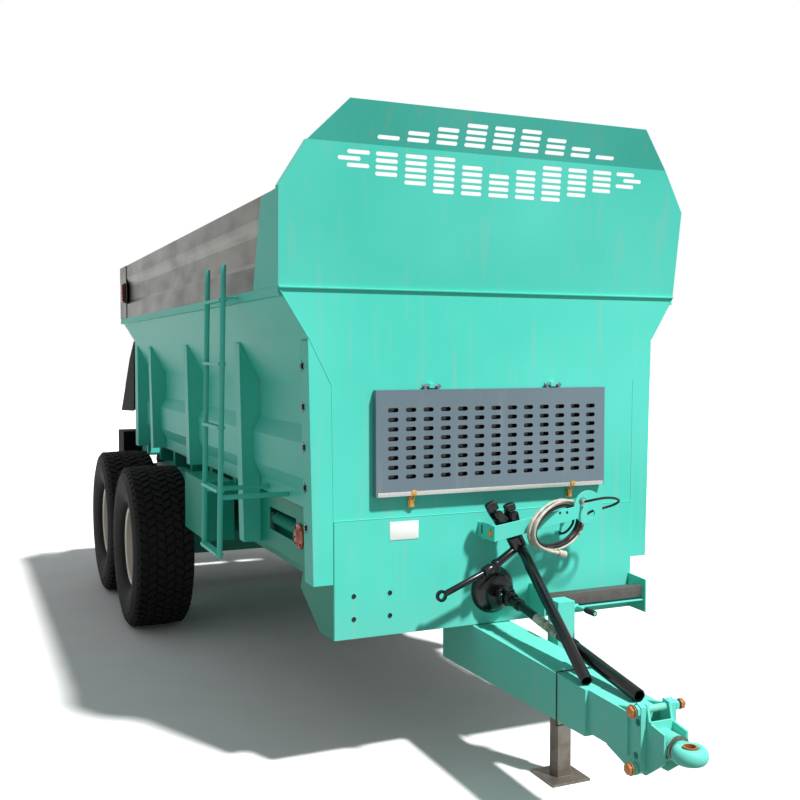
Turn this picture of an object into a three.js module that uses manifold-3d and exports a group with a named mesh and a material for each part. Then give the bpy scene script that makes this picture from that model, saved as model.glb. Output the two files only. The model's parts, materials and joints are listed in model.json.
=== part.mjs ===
// Tandem-axle manure spreader: folded-sheet hopper on a ladder chassis, chain floor,
// drawbar with swivelling eye, stowed drive shafts, lifting door, beaters and spinner discs.
// Millimetres. X to the machine's left, Y to the rear, Z up; the front wall stands at Y = 0.
import * as THREE from 'three';
import { mergeVertices } from 'three/addons/utils/BufferGeometryUtils.js';
import Module from 'manifold-3d';

const wasm = await Module();
wasm.setup();

// ---------- driving dimensions ----------
const seat = 0.3;              // gap left between pieces that touch
const bodyLength = 4580;       // front wall to the rear end of the side walls
const floorHalf = 812;         // half width outside the walls at the floor
const shoulderOut = 118;       // shoulder stands this far outside the floor line
const brimOut = 135;           // brim stands this far outside the shoulder
const floorZ = 1208;           // underside of the floor sheet
const floorSheet = 6;
const shoulderRise = 837;      // shoulder above the floor
const brimRise = 218;          // brim above the shoulder
const wallSheet = 5;
const panelSheet = 6;          // front wall and folded ribs
const ribDepth = 100;
const ribPitch = 1382;         // rib to rib
const firstRibY = 1193;
const frontFlange = 120;       // folded edge of the front wall
const frontDrop = 544;         // front wall reaches this far below the floor
const railWidth = 60;
const railHeight = 43;
const extensionRise = 427;     // steel extension above the brim
const hoodRise = 430;          // front hood: straight part, shoulders and visor
const hoodShoulder = 205;
const hoodVisor = 190;
const cheekTopY = 228;          // side cheek's rear edge, top and foot
const cheekFootY = 408;
const hoodLean = 6.5;          // degrees
const visorLean = 21.5;
const tyreRadius = 575;
const tyreWidth = 415;
const rimRadius = 286;
const tyreClearance = 45;      // wall to tyre
const frontAxleY = 3200;
const axleSpacing = 1250;
const axleBeam = 150;
const spindleRadius = 50;
const beamHalf = 700;          // chassis beams, centre line
const beamWidth = 100;
const beamBottom = 850;
const crossDepth = 118;        // cross members under the floor
const drawbarHalf = 105;
const drawbarReach = 958;      // box part in front of the wall
const drawbarDepth = 224;
const eyeReach = 1457;         // eye centre in front of the wall
const eyeZ = 543;
const eyeHole = 20;
const eyeRing = 66;
const pinRadius = 14;
const jackX = 185;
const jackY = -330;
const jackTube = 90;           // square outer tube
const jackLeg = 70;            // square inner leg
const chainRadius = 152;
const chainFrontY = 430;
const chainShaft = 30;
const doorLift = 850;
const beaterRadius = 180;
const glands = [[405, 1160], [366, 1078]];   // light cable and hose, where they leave the front wall
const glandReach = 24;
const discRadius = 400;
const discX = 430;
const rearReach = 1120;        // spinner deck's rear lip behind the walls
const grilleHalf = 620;
const grilleHeight = 490;
const grilleTop = 1800;
const grilleDepth = 34;
const hookX = 330;             // lid hinges
const hookY = -14;
const hookPin = 5;

// ---------- sizes that follow ----------
const shoulderHalf = floorHalf + shoulderOut;
const brimHalf = shoulderHalf + brimOut;
const shoulderZ = floorZ + shoulderRise;
const brimZ = shoulderZ + brimRise;
const floorTop = floorZ + floorSheet;
const frontBottom = floorZ - frontDrop;
const flangeBottom = floorZ - 288;
const flangeTaper = 22;
const drawbarTop = frontBottom - 4;
const wheelX = floorHalf + tyreClearance + tyreWidth / 2;
const beamTop = floorZ - crossDepth;
const chainZ = floorTop + 18 - chainRadius;
const rearAxleY = frontAxleY + axleSpacing;
const chainRearY = bodyLength - 150;
const hookZ = grilleTop + 16;
const frontEnd = -(eyeReach + eyeRing);
const rearEnd = bodyLength + rearReach;

// ---------- geometry helpers ----------
function solid(geometry) {
  geometry.deleteAttribute('normal');
  geometry.deleteAttribute('uv');
  const merged = mergeVertices(geometry, 1e-3);
  const points = merged.attributes.position.array;
  const corners = [...merged.index.array];
  const faces = [];
  let volume = 0;
  const point = new THREE.Vector3();
  const at = (i) => new THREE.Vector3(points[3 * i], points[3 * i + 1], points[3 * i + 2]);
  for (let i = 0; i < corners.length; i += 3) {
    const [a, b, c] = corners.slice(i, i + 3);
    if (a === b || b === c || a === c) continue;
    faces.push([a, b, c]);
    volume += point.crossVectors(at(a), at(b)).dot(at(c));
  }
  const ordered = volume < 0 ? faces.map(([a, b, c]) => [a, c, b]) : faces;
  const mesh = new wasm.Mesh({
    numProp: 3,
    vertProperties: new Float32Array(points),
    triVerts: new Uint32Array(ordered.flat()),
  });
  return new wasm.Manifold(mesh);
}

function geometryOf(body) {
  const mesh = body.getMesh();
  const geometry = new THREE.BufferGeometry();
  geometry.setAttribute('position', new THREE.BufferAttribute(mesh.vertProperties, 3));
  geometry.setIndex(new THREE.BufferAttribute(mesh.triVerts, 1));
  geometry.computeVertexNormals();
  return geometry;
}

function join(...bodies) {
  return bodies.reduce((sum, body) => sum.add(body));
}

function cut(body, ...tools) {
  return tools.reduce((rest, tool) => rest.subtract(tool), body);
}

function box(x0, x1, y0, y1, z0, z1) {
  const geometry = new THREE.BoxGeometry(x1 - x0, y1 - y0, z1 - z0);
  return solid(geometry.translate((x0 + x1) / 2, (y0 + y1) / 2, (z0 + z1) / 2));
}

function outline(points) {
  return new THREE.Shape(points.map(([a, b]) => new THREE.Vector2(a, b)));
}

function extrude(shape, depth, basis, offset) {
  const geometry = new THREE.ExtrudeGeometry(shape, { depth, bevelEnabled: false, curveSegments: 8 });
  geometry.applyMatrix4(new THREE.Matrix4().makeBasis(...basis));
  return solid(geometry.translate(...offset));
}

const axisX = new THREE.Vector3(1, 0, 0);
const axisY = new THREE.Vector3(0, 1, 0);
const axisZ = new THREE.Vector3(0, 0, 1);
const backX = new THREE.Vector3(-1, 0, 0);
const backY = new THREE.Vector3(0, -1, 0);

const asShape = (points) => (Array.isArray(points) ? outline(points) : points);
const alongY = (points, y0, y1) => extrude(asShape(points), y1 - y0, [axisX, axisZ, backY], [0, y1, 0]);
const alongX = (points, x0, x1) => extrude(asShape(points), x1 - x0, [axisY, axisZ, axisX], [x0, 0, 0]);
const alongZ = (points, z0, z1) => extrude(asShape(points), z1 - z0, [axisX, axisY, axisZ], [0, 0, z0]);

function rod(from, to, radius, sides = 12) {
  const a = new THREE.Vector3(...from);
  const b = new THREE.Vector3(...to);
  const geometry = new THREE.CylinderGeometry(radius, radius, a.distanceTo(b), sides);
  const turn = new THREE.Quaternion().setFromUnitVectors(axisY, b.clone().sub(a).normalize());
  geometry.applyQuaternion(turn);
  const middle = a.add(b).multiplyScalar(0.5);
  return solid(geometry.translate(middle.x, middle.y, middle.z));
}

// Turns an outline of (radius, height) points round the X, Y or Z axis.
function revolve(points, sides, axis = 'Z') {
  const loop = points[0][0] > 0 ? [...points, points[0]] : points;
  const geometry = new THREE.LatheGeometry(loop.map(([r, h]) => new THREE.Vector2(r, h)), sides);
  if (axis === 'X') geometry.applyMatrix4(new THREE.Matrix4().makeBasis(backY, axisX, axisZ));
  if (axis === 'Z') geometry.applyMatrix4(new THREE.Matrix4().makeBasis(axisX, axisZ, backY));
  return solid(geometry);
}

const both = (make) => join(make(-1), make(1));
const mirrored = (body, side) => (side > 0 ? body : body.mirror([1, 0, 0]));

// ---------- finishes ----------
const finish = (color, roughness, metalness) => () => (
  new THREE.MeshStandardMaterial({ color, roughness, metalness })
);
const greenPaint = finish('#2fae93', 0.35, 0.1);
const deepGreen = finish('#157a66', 0.45, 0.1);
const greyPaint = finish('#5f6f76', 0.5, 0.1);
const stainless = finish('#a8b3b8', 0.28, 1);
const blackPaint = finish('#16191b', 0.4, 0.1);
const bareSteel = finish('#7c7468', 0.6, 0.8);
const tyreRubber = finish('#1c1b1a', 0.85, 0);
const rimPaint = finish('#c9c2ad', 0.5, 0.2);
const rustySteel = finish('#a8703a', 0.8, 0.4);
const redLens = finish('#b3161a', 0.2, 0);
const cableGrey = finish('#8f8c84', 0.7, 0);

const machine = new THREE.Group();
machine.position.set(0, -(frontEnd + rearEnd) / 2, 0);

function piece(name, body, look, parent = machine) {
  const mesh = new THREE.Mesh(geometryOf(body), look());
  mesh.name = name;
  parent.add(mesh);
  return mesh;
}

const sides = [['left', 1], ['right', -1]];

// ---------- front wall ----------
const flangeHalfAt = (z) => shoulderHalf - ((shoulderZ - z) * flangeTaper) / (shoulderZ - flangeBottom);
const flangeTop = shoulderZ - 20;

function frontPlate() {
  const right = [
    [brimHalf, brimZ], [shoulderHalf, shoulderZ], [flangeHalfAt(flangeBottom), flangeBottom],
    [floorHalf, flangeBottom], [floorHalf, frontBottom],
  ];
  const left = right.map(([x, z]) => [-x, z]).reverse();
  const sheet = alongY([...right, ...left], 0, panelSheet);
  const fold = both((side) => {
    const top = side * flangeHalfAt(flangeTop);
    const foot = side * flangeHalfAt(flangeBottom);
    const inner = foot - side * (foot * side - floorHalf);
    const strip = [
      [top, flangeTop], [foot, flangeBottom], [inner, flangeBottom], [inner, flangeBottom + panelSheet],
      [foot - side * panelSheet, flangeBottom + panelSheet], [top - side * panelSheet, flangeTop],
    ];
    return alongY(strip, panelSheet / 2, frontFlange);
  });
  const apron = box(1 - floorHalf, floorHalf - 1, -panelSheet, 1, frontBottom, floorZ);
  const windowTop = grilleTop - 45;
  const windowCut = box(60 - grilleHalf, grilleHalf - 60, -5, 20, windowTop - grilleHeight + 95, windowTop);
  const hooks = both((side) => cut(
    box(side * hookX - 14, side * hookX + 14, hookY - 7, 1, hookZ - 10, hookZ + 12),
    rod([-brimHalf, hookY, hookZ], [brimHalf, hookY, hookZ], hookPin + 0.6, 10),
  ));
  const nuts = glands.map(([x, z]) => rod([x, 1 - panelSheet, z], [x, -panelSheet - glandReach, z], 13));
  return cut(join(sheet, fold, apron, hooks, ...nuts), windowCut);
}
piece('front_plate', frontPlate(), greenPaint);

// ---------- front hood ----------
const hoodSheet = 3;
const hoodFootY = 0;
const hoodWideHalf = brimHalf + 12;
const hoodNeckHalf = hoodWideHalf - 124;
const hoodTopHalf = hoodNeckHalf - 173;
const slotLength = 108;
const slotHeight = 18;
const slotColumn = 144;
const slotRow = 29.2;
const lowSlots = 451;             // lowest rows above the hood's foot and above its fold
const highSlots = 36;

function roundSlot(x, z, length, height, y0, y1) {
  const [a, r] = [length / 2, height / 2];
  const [ends, step] = [0.41 * r, 0.59 * r];
  const corner = [
    [a, -ends], [a, ends], [a - step, r], [step - a, r], [-a, ends], [-a, -ends], [step - a, -r], [a - step, -r],
  ];
  return alongY(corner.map(([dx, dz]) => [x + dx, z + dz]), y0, y1);
}

function hoodSlots(foot, columns) {        // each column: place, lowest row, rows
  const tools = [];
  for (const [column, first, count] of columns) {
    for (let row = first; row < first + count; row += 1) {
      tools.push(roundSlot(column * slotColumn, foot + row * slotRow, slotLength, slotHeight, -20, 20));
    }
  }
  return tools;
}

function frontHood() {
  const tilt = (body, y, z, degrees) => body.rotate([degrees, 0, 0]).translate([0, y, z]);
  const lean = THREE.MathUtils.degToRad(hoodLean);
  const straight = hoodRise + hoodShoulder;
  const face = (flare) => [
    [brimHalf - flare, 0], [hoodWideHalf - flare, hoodRise], [hoodNeckHalf - flare, straight],
    [flare - hoodNeckHalf, straight], [flare - hoodWideHalf, hoodRise], [flare - brimHalf, 0],
  ];
  const rim = cut(alongY(face(0), 0, 45), alongY(face(hoodSheet), hoodSheet, 60));
  const lower = cut(join(alongY(face(0), 0, hoodSheet), rim), ...hoodSlots(lowSlots, [
    [-5.25, 4, 1], [-4.95, 3, 1], [-4.95, 5, 1], [-4, 2, 4], [-3, 1, 5], [-2, 0, 6], [-1, 0, 5], [0, 0, 4],
    [1, 0, 5], [2, 0, 6], [3, 1, 5], [4, 2, 4], [4.95, 3, 1], [4.95, 5, 1], [5.25, 4, 1],
  ]));
  const visorFace = [
    [hoodNeckHalf, 0], [hoodTopHalf, hoodVisor], [-hoodTopHalf, hoodVisor], [-hoodNeckHalf, 0],
  ];
  const visor = cut(alongY(visorFace, 0, hoodSheet), ...hoodSlots(highSlots, [
    [-4, 0, 1], [-3, 0, 2], [-2, 0, 3], [-1, 0, 4], [0, 0, 4], [1, 0, 4], [2, 0, 3], [3, 0, 2], [4, 0, 1],
  ]));
  const neckY = hoodFootY - Math.sin(lean) * straight;
  const neckZ = brimZ + seat + Math.cos(lean) * straight;
  const flare = THREE.MathUtils.radToDeg(Math.atan2(hoodWideHalf - brimHalf, hoodRise));
  const cheek = [
    [hoodFootY + 1, 0], [-Math.tan(lean) * (hoodRise - 8), hoodRise - 8],
    [cheekTopY, hoodRise - 17], [cheekFootY, 0],
  ];
  const cheeks = both((side) => mirrored(
    alongX(cheek, -hoodSheet, 0).rotate([0, flare, 0]).translate([brimHalf, 0, brimZ + seat]),
    side,
  ));
  return join(
    tilt(lower, hoodFootY, brimZ + seat, hoodLean),
    tilt(visor, neckY, neckZ - 1, visorLean),
    cheeks,
  );
}
piece('front_hood', frontHood(), greenPaint);

// ---------- hopper walls, rails, extension ----------
const wallFold = [                       // outer face, from the brim down: depth in from the floor line, height
  [brimHalf - (railHeight - 1) * (brimOut / brimRise), brimZ - railHeight + 1],
  [shoulderHalf, shoulderZ], [floorHalf, shoulderZ - 230], [floorHalf, floorZ + 412],
  [floorHalf + 45, floorZ + 332], [floorHalf + 38, floorZ + 162], [floorHalf - 2, floorZ + 82],
  [floorHalf - 2, floorTop],
];

sides.forEach(([hand, side]) => {
  const outer = wallFold.map(([x, z]) => [side * x, z]);
  const inner = wallFold.map(([x, z]) => [side * (x - wallSheet), z]).reverse();
  const wall = alongY([...outer, ...inner], panelSheet + seat, bodyLength);
  const railX = [side * (brimHalf - railWidth), side * brimHalf].sort((a, b) => a - b);
  const rail = box(...railX, panelSheet + seat, bodyLength, brimZ - railHeight, brimZ);
  piece(`hopper_side_${hand}`, join(wall, rail), greenPaint);
});

const extensionOuter = brimHalf - 4;
const grooveDepth = 22;
const steelSheet = 3;
const postFront = bodyLength - 310;
sides.forEach(([hand, side]) => {
  const band = extensionOuter;
  const groove = extensionOuter - grooveDepth;
  const fold = [
    [band, brimZ + seat], [band, brimZ + 112], [groove, brimZ + 142], [groove, brimZ + 257],
    [band, brimZ + 327], [band, brimZ + extensionRise],
  ];
  const outer = fold.map(([x, z]) => [side * x, z]);
  const inner = fold.map(([x, z]) => [side * (x - steelSheet), z]).reverse();
  const sheet = alongY([...outer, ...inner], hoodSheet + seat + 6, bodyLength);
  const postX = [side * (band - steelSheet), side * (band + 6)].sort((a, b) => a - b);
  const post = box(...postX, postFront, bodyLength, brimZ + seat, brimZ + extensionRise);
  const capX = [side * (band - 30), side * band].sort((a, b) => a - b);
  const cap = box(...capX, cheekFootY, bodyLength, brimZ + extensionRise - steelSheet, brimZ + extensionRise);
  piece(`extension_panel_${hand}`, join(sheet, post, cap), stainless);

  const lampX = [side * (band + 6 + seat), side * (band + 40)].sort((a, b) => a - b);
  const lamp = box(...lampX, postFront + 20, postFront + 80, brimZ + 123, brimZ + 289);
  piece(`marker_lamp_${hand}`, lamp, redLens);
});

// ---------- ribs ----------
function rib(side, y, foot) {
  const outerTop = [flangeHalfAt(flangeTop), flangeTop];
  const outerFoot = [flangeHalfAt(foot), foot];
  const wallX = (x) => x + seat;
  const wallAtTop = shoulderHalf - (shoulderZ - flangeTop) * (shoulderOut / 230);
  const inner = [
    [wallX(floorHalf), foot], [wallX(floorHalf), floorZ + 82], [wallX(floorHalf + 38), floorZ + 162],
    [wallX(floorHalf + 45), floorZ + 332], [wallX(floorHalf), floorZ + 412],
    [wallX(floorHalf), shoulderZ - 230], [wallX(wallAtTop), flangeTop],
  ];
  const web = alongY([...inner, outerTop, outerFoot], y, y + ribDepth);
  const hollow = [
    [floorHalf - 60, foot - 10], [floorHalf - 60, flangeTop + 10],
    [outerTop[0] - panelSheet, flangeTop + 10], [outerFoot[0] - panelSheet, foot - 10],
  ];
  const channel = cut(web, alongY(hollow, y + panelSheet, y + ribDepth - panelSheet));
  return mirrored(channel, side);
}
['front', 'middle', 'rear'].forEach((place, index) => {
  const foot = index === 0 ? flangeBottom : floorTop;
  sides.forEach(([hand, side]) => {
    piece(`rib_${place}_${hand}`, rib(side, firstRibY + index * ribPitch, foot), greenPaint);
  });
});

// ---------- chassis ----------
const frameRear = bodyLength + 140;
const crossPlaces = [1120, 1740, 2360, 2980, 3600, 4180];

function skirt() {
  const points = [
    [panelSheet + seat, floorZ - seat], [panelSheet + seat, frontBottom], [190, frontBottom - 9],
    [480, frontBottom + 146], [430, flangeBottom], [firstRibY + 40, flangeBottom], [firstRibY + 40, floorZ - seat],
  ];
  const pocket = box(floorHalf - 50, floorHalf + 50, 550, 1010, chainZ - 60, chainZ + 60);
  return cut(alongX(points, floorHalf - panelSheet, floorHalf), pocket);
}

function chassisFrame() {
  const beams = both((side) => box(
    side * beamHalf - beamWidth / 2, side * beamHalf + beamWidth / 2,
    panelSheet + seat + 14, frameRear, beamBottom, beamTop + 1,
  ));
  const crosses = crossPlaces.map((y) => box(
    1 - floorHalf, floorHalf - 1, y, y + 70, beamTop, floorZ - seat,
  ));
  const nose = box(-beamHalf, beamHalf, 20, 260, drawbarTop + seat, beamBottom + 1);
  const tail = box(-beamHalf, beamHalf, frameRear - 60, frameRear, beamBottom, beamBottom + 120);
  const hungTop = Math.min(beamBottom + 40, chainZ - chainRadius - 38);
  const hung = box(-beamHalf, beamHalf, 2000, 2080, beamBottom, hungTop);
  const skirts = both((side) => mirrored(skirt(), side));
  const saddles = [chainFrontY, chainRearY].map((y) => rod(
    [1 - floorHalf, y, chainZ], [floorHalf - 1, y, chainZ], chainShaft + seat,
  ));
  const slots = [chainFrontY, chainRearY].map((y) => box(
    1 - floorHalf, floorHalf - panelSheet - 1, y - chainShaft - seat, y + chainShaft + seat, chainZ, beamTop + 2,
  ));
  return join(cut(join(beams, nose, tail, hung), ...saddles, ...slots), ...crosses, skirts);
}
piece('chassis_frame', chassisFrame(), deepGreen);

sides.forEach(([hand, side]) => {
  const springY = [560, 960];
  const x = floorHalf - 36;
  const barrel = rod([x, springY[0], chainZ], [x, springY[1], chainZ], 25);
  const bolt = rod([x, chainFrontY + 60, chainZ], [x, 1005, chainZ], 11);
  const bearing = box(x - 24, x + 24, chainFrontY - 55, chainFrontY + 62, chainZ - 50, chainZ + 50);
  const bore = rod([0, chainFrontY, chainZ], [floorHalf + 88, chainFrontY, chainZ], chainShaft + seat);
  piece(`chain_tensioner_${hand}`, mirrored(cut(join(barrel, bolt, bearing), bore), side), deepGreen);
});

const chainWide = 620;
const throat = chainRadius + 60;
const floorSheetBody = cut(
  box(-floorHalf, floorHalf, panelSheet + seat, bodyLength, floorZ, floorTop - seat),
  box(-chainWide - 12, chainWide + 12, chainFrontY - throat, chainFrontY + 60, floorZ - 5, floorTop + 5),
  box(-chainWide - 12, chainWide + 12, chainRearY - 60, bodyLength + 5, floorZ - 5, floorTop + 5),
);
piece('floor_plate', floorSheetBody, stainless);

function floorChain() {
  const link = 16;
  const loop = (radius) => {
    const shape = new THREE.Shape();
    shape.absarc(chainRearY, chainZ, radius, Math.PI / 2, -Math.PI / 2, true);
    shape.absarc(chainFrontY, chainZ, radius, -Math.PI / 2, -1.5 * Math.PI, true);
    return shape;
  };
  const band = both((side) => {
    const x = side * 320;
    return cut(
      alongX(loop(chainRadius), x - 22, x + 22),
      alongX(loop(chainRadius - link), x - 30, x + 30),
    );
  });
  const run = chainRearY - chainFrontY;
  const slats = [];
  for (let i = 0; i < 8; i += 1) {
    const y = chainFrontY + (run * (i + 0.5)) / 8;
    slats.push(box(-chainWide, chainWide, y - 20, y + 20, chainZ + chainRadius - 1, chainZ + chainRadius + 26));
    slats.push(box(-chainWide, chainWide, y - 20, y + 20, chainZ - chainRadius - 26, chainZ - chainRadius + 1));
  }
  return join(band, ...slats);
}
piece('floor_chain', floorChain(), bareSteel);

[['front', chainFrontY], ['rear', chainRearY]].forEach(([place, y]) => {
  const reach = floorHalf - panelSheet - 4;
  const shaft = rod([-reach, y, chainZ], [reach, y, chainZ], chainShaft);
  const wheels = both((side) => rod(
    [side * 320 - 9, y, chainZ], [side * 320 + 9, y, chainZ], chainRadius - 16 - seat - 0.5, 24,
  ));
  piece(`chain_shaft_${place}`, join(shaft, wheels), bareSteel);
});

// ---------- ladder ----------
function ladder() {
  const topX = brimHalf + 72;
  const footX = brimHalf + 103;
  const topZ = brimZ + 142;
  const footZ = floorZ - 263;
  const railAt = (z) => footX + ((topX - footX) * (z - footZ)) / (topZ - footZ);
  const front = 690;
  const rear = 1030;
  const rails = [front, rear].map((y) => rod([footX, y, footZ], [topX, y, topZ], 14));
  const rungs = [0, 1, 2, 3, 4].map((step) => {
    const z = footZ + 12 + step * 318;
    const x = railAt(z);
    return box(x - 20, x + 20, front, rear, z - 3, z + 12);
  });
  const stays = [front, rear].map((y) => (
    rod([floorHalf + seat, y, floorZ + 40], [railAt(floorZ + 40), y, floorZ + 40], 13)
  ));
  const hooks = [front, rear].map((y) => (
    box(brimHalf + seat, railAt(brimZ - 20), y - 15, y + 15, brimZ - 26, brimZ - 16)
  ));
  return join(...rails, ...rungs, ...stays, ...hooks);
}
piece('ladder', mirrored(ladder(), -1), greenPaint);

// ---------- tandem ----------
function bogie(side) {
  const middle = frontAxleY + axleSpacing / 2;
  const axleTop = tyreRadius + axleBeam / 2 + seat;
  const rise = axleTop + 70;
  const points = [
    [frontAxleY - 110, axleTop], [frontAxleY + 110, axleTop], [frontAxleY + 260, axleTop + 40],
    [rearAxleY - 260, axleTop + 40], [rearAxleY - 110, axleTop], [rearAxleY + 110, axleTop],
    [rearAxleY + 110, rise], [middle + 150, rise + 90], [middle + 150, beamBottom - seat],
    [middle - 150, beamBottom - seat], [middle - 150, rise + 90], [frontAxleY - 110, rise],
  ];
  return alongX(points, side * beamHalf - 45, side * beamHalf + 45);
}
sides.forEach(([hand, side]) => piece(`bogie_beam_${hand}`, bogie(side), deepGreen));

const tyreBand = [
  [262.5, 137.5], [289, 137.5], [330, 178], [430, tyreWidth / 2], [520, 200], [tyreRadius, 135],
];
const tyreProfile = [...tyreBand.map(([r, x]) => [r, -x]), ...tyreBand.map(([r, x]) => [r, x]).reverse()];
const rimProfile = [
  [0, 60], [spindleRadius, 60], [spindleRadius, -165], [190, -165], [190, -30], [250, -30], [250, -150],
  [rimRadius, -150], [262, -138], [262, 138], [rimRadius, 150], [250, 150], [250, -18], [95, -18],
  [95, 80], [0, 80],
];

[['front', frontAxleY], ['rear', rearAxleY]].forEach(([place, y]) => {
  const half = axleBeam / 2;
  const beam = box(17 - wheelX + tyreWidth / 2, wheelX - tyreWidth / 2 - 17, y - half, y + half,
    tyreRadius - half, tyreRadius + half);
  const tip = wheelX + 60 - seat;
  const spindle = rod([-tip, y, tyreRadius], [tip, y, tyreRadius], spindleRadius - 1, 24);
  piece(`axle_${place}`, join(beam, spindle), deepGreen);
  sides.forEach(([hand, side]) => {
    const wheel = new THREE.Group();
    wheel.position.set(side * wheelX, y, tyreRadius);
    machine.add(wheel);
    piece(`tyre_${place}_${hand}`, mirrored(revolve(tyreProfile, 24, 'X'), side), tyreRubber, wheel);
    piece(`rim_${place}_${hand}`, mirrored(revolve(rimProfile, 24, 'X'), side), rimPaint, wheel);
  });
});

// ---------- drawbar and hitch ----------
const earFront = eyeReach - 175;
const pinTop = [-(eyeReach - 195), 650];
const pinFoot = [-(eyeReach - 205), 432];
const yokeHalf = 55;
const earSheet = 25;

function drawbar() {
  const boxBeam = alongX([
    [320, drawbarTop - drawbarDepth - 14], [320, drawbarTop], [0, drawbarTop],
    [-drawbarReach, drawbarTop - 22], [-drawbarReach, drawbarTop - drawbarDepth + 14],
  ], -drawbarHalf, drawbarHalf);
  const neck = alongX([
    [1 - drawbarReach, drawbarTop - 24], [-(earFront - 70), drawbarTop - 30],
    [-(earFront - 70), drawbarTop - 195], [1 - drawbarReach, drawbarTop - 195],
  ], 15 - drawbarHalf, drawbarHalf - 15);
  const ears = both((side) => {
    const points = [
      [-(drawbarReach + 60), drawbarTop - 135], [-(drawbarReach + 90), drawbarTop - 50],
      [-(drawbarReach + 150), drawbarTop - 34], [-(earFront - 60), drawbarTop - 10],
      [-(earFront - 28), drawbarTop + 18], [-earFront, drawbarTop + 6], [-earFront, drawbarTop - 235],
      [-(earFront - 40), drawbarTop - 262], [-(earFront - 80), drawbarTop - 245],
      [-(drawbarReach + 110), drawbarTop - 205],
    ];
    const x = side * (yokeHalf + seat + earSheet / 2);
    return alongX(points, x - earSheet / 2, x + earSheet / 2);
  });
  const holes = [pinTop, pinFoot].map(([y, z]) => rod([-200, y, z], [200, y, z], pinRadius + seat));
  const spare = [[pinTop[0], pinTop[1] - 44], [pinFoot[0], pinFoot[1] + 46]]
    .map(([y, z]) => rod([-200, y, z], [200, y, z], pinRadius));
  const mouth = box(-yokeHalf - seat, yokeHalf + seat, -(earFront + 60), -(earFront - 69), 300, 800);
  return cut(join(boxBeam, neck, ears), mouth, ...holes, ...spare);
}
piece('drawbar', drawbar(), greenPaint);

const barrelRadius = 46;
function hitchYoke() {
  const nose = -(eyeReach - 75);
  const cheeks = both((side) => {
    const points = [
      [pinTop[0] + 18, pinTop[1] + 26], [pinTop[0] - 20, pinTop[1] + 22], [pinTop[0] - 34, pinTop[1] - 40],
      [nose, eyeZ + 52], [nose, eyeZ - 56], [pinFoot[0] - 26, pinFoot[1] - 24], [pinFoot[0] + 18, pinFoot[1] - 24],
    ];
    const x = side * (yokeHalf - 5);
    return alongX(points, x - 5, x + 5);
  });
  const bulkhead = box(1 - yokeHalf, yokeHalf - 1, pinTop[0] - 44, pinTop[0] - 34, eyeZ - 70, eyeZ + 72);
  const barrel = rod([0, pinTop[0] - 40, eyeZ], [0, nose - 4, eyeZ], barrelRadius, 20);
  const shelf = box(1 - yokeHalf, yokeHalf - 1, nose + 20, pinTop[0] - 36, eyeZ - 56, eyeZ - 44);
  const bore = rod([0, pinTop[0] - 25, eyeZ], [0, nose - 20, eyeZ], 31, 20);
  const pins = [pinTop, pinFoot].map(([y, z]) => {
    const reach = yokeHalf + seat + earSheet + 6;
    const shank = rod([-reach - 14, y, z], [reach + 14, y, z], pinRadius);
    const heads = both((side) => rod([side * (reach - 4), y, z], [side * (reach + 8), y, z], 22, 6));
    return join(shank, heads);
  });
  return join(cut(join(cheeks, bulkhead, barrel, shelf), bore), ...pins);
}
piece('hitch_yoke', hitchYoke(), greenPaint);

function hitchEye() {
  const ring = revolve([[eyeHole, -20], [eyeHole + 8, -27], [50, -27], [eyeRing, -8], [eyeRing, 8], [50, 27],
    [eyeHole + 8, 27], [eyeHole, 20]], 28).translate([0, -eyeReach, eyeZ]);
  const shank = rod([0, pinTop[0] - 34, eyeZ], [0, -(eyeReach - 26), eyeZ], 30, 20);
  const bore = rod([0, -eyeReach, eyeZ - 60], [0, -eyeReach, eyeZ + 60], eyeHole - 0.2, 28);
  return cut(join(shank, ring), bore);
}
piece('hitch_eye', hitchEye(), greenPaint);

// ---------- parking jack ----------
const jackTop = drawbarTop + 170;
function jackOuter() {
  const half = jackTube / 2;
  const tube = box(jackX - half, jackX + half, jackY - half, jackY + half, 300, jackTop);
  const hollow = box(jackX - jackLeg / 2 - seat, jackX + jackLeg / 2 + seat, jackY - jackLeg / 2 - seat,
    jackY + jackLeg / 2 + seat, 290, jackTop - 12);
  const clamp = box(drawbarHalf + seat, jackX, jackY - 40, jackY + 40, drawbarTop - 160, drawbarTop - 40);
  const gear = rod([jackX, jackY, jackTop - 40], [jackX + 90, jackY, jackTop - 40], 12);
  const crank = rod([jackX + 84, jackY, jackTop - 40], [jackX + 84, jackY - 150, jackTop - 40], 9);
  return join(cut(join(tube, clamp), hollow), cut(gear, hollow), crank);
}
piece('jack_tube', jackOuter(), greenPaint);

const legTop = 520;
const leg = join(
  box(jackX - jackLeg / 2, jackX + jackLeg / 2, jackY - jackLeg / 2, jackY + jackLeg / 2, 10, legTop),
  box(jackX - 100, jackX + 100, jackY - 100, jackY + 100, 0, 12),
);
piece('jack_leg', leg, bareSteel);

// ---------- drive line ----------
const shaftZ = 828;
const shieldY = -panelSheet - seat;
const stubY = shieldY - 92;
const shieldProfile = [[0, 0], [115, 0], [115, 6], [78, 60], [60, 60], [60, 12], [0, 12]];
const shield = join(
  revolve(shieldProfile, 24).rotate([90, 0, 0]).translate([0, shieldY, shaftZ]),
  rod([0, shieldY - 8, shaftZ], [0, stubY, shaftZ], 22),
);
piece('drive_shield', shield, blackPaint);

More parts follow.
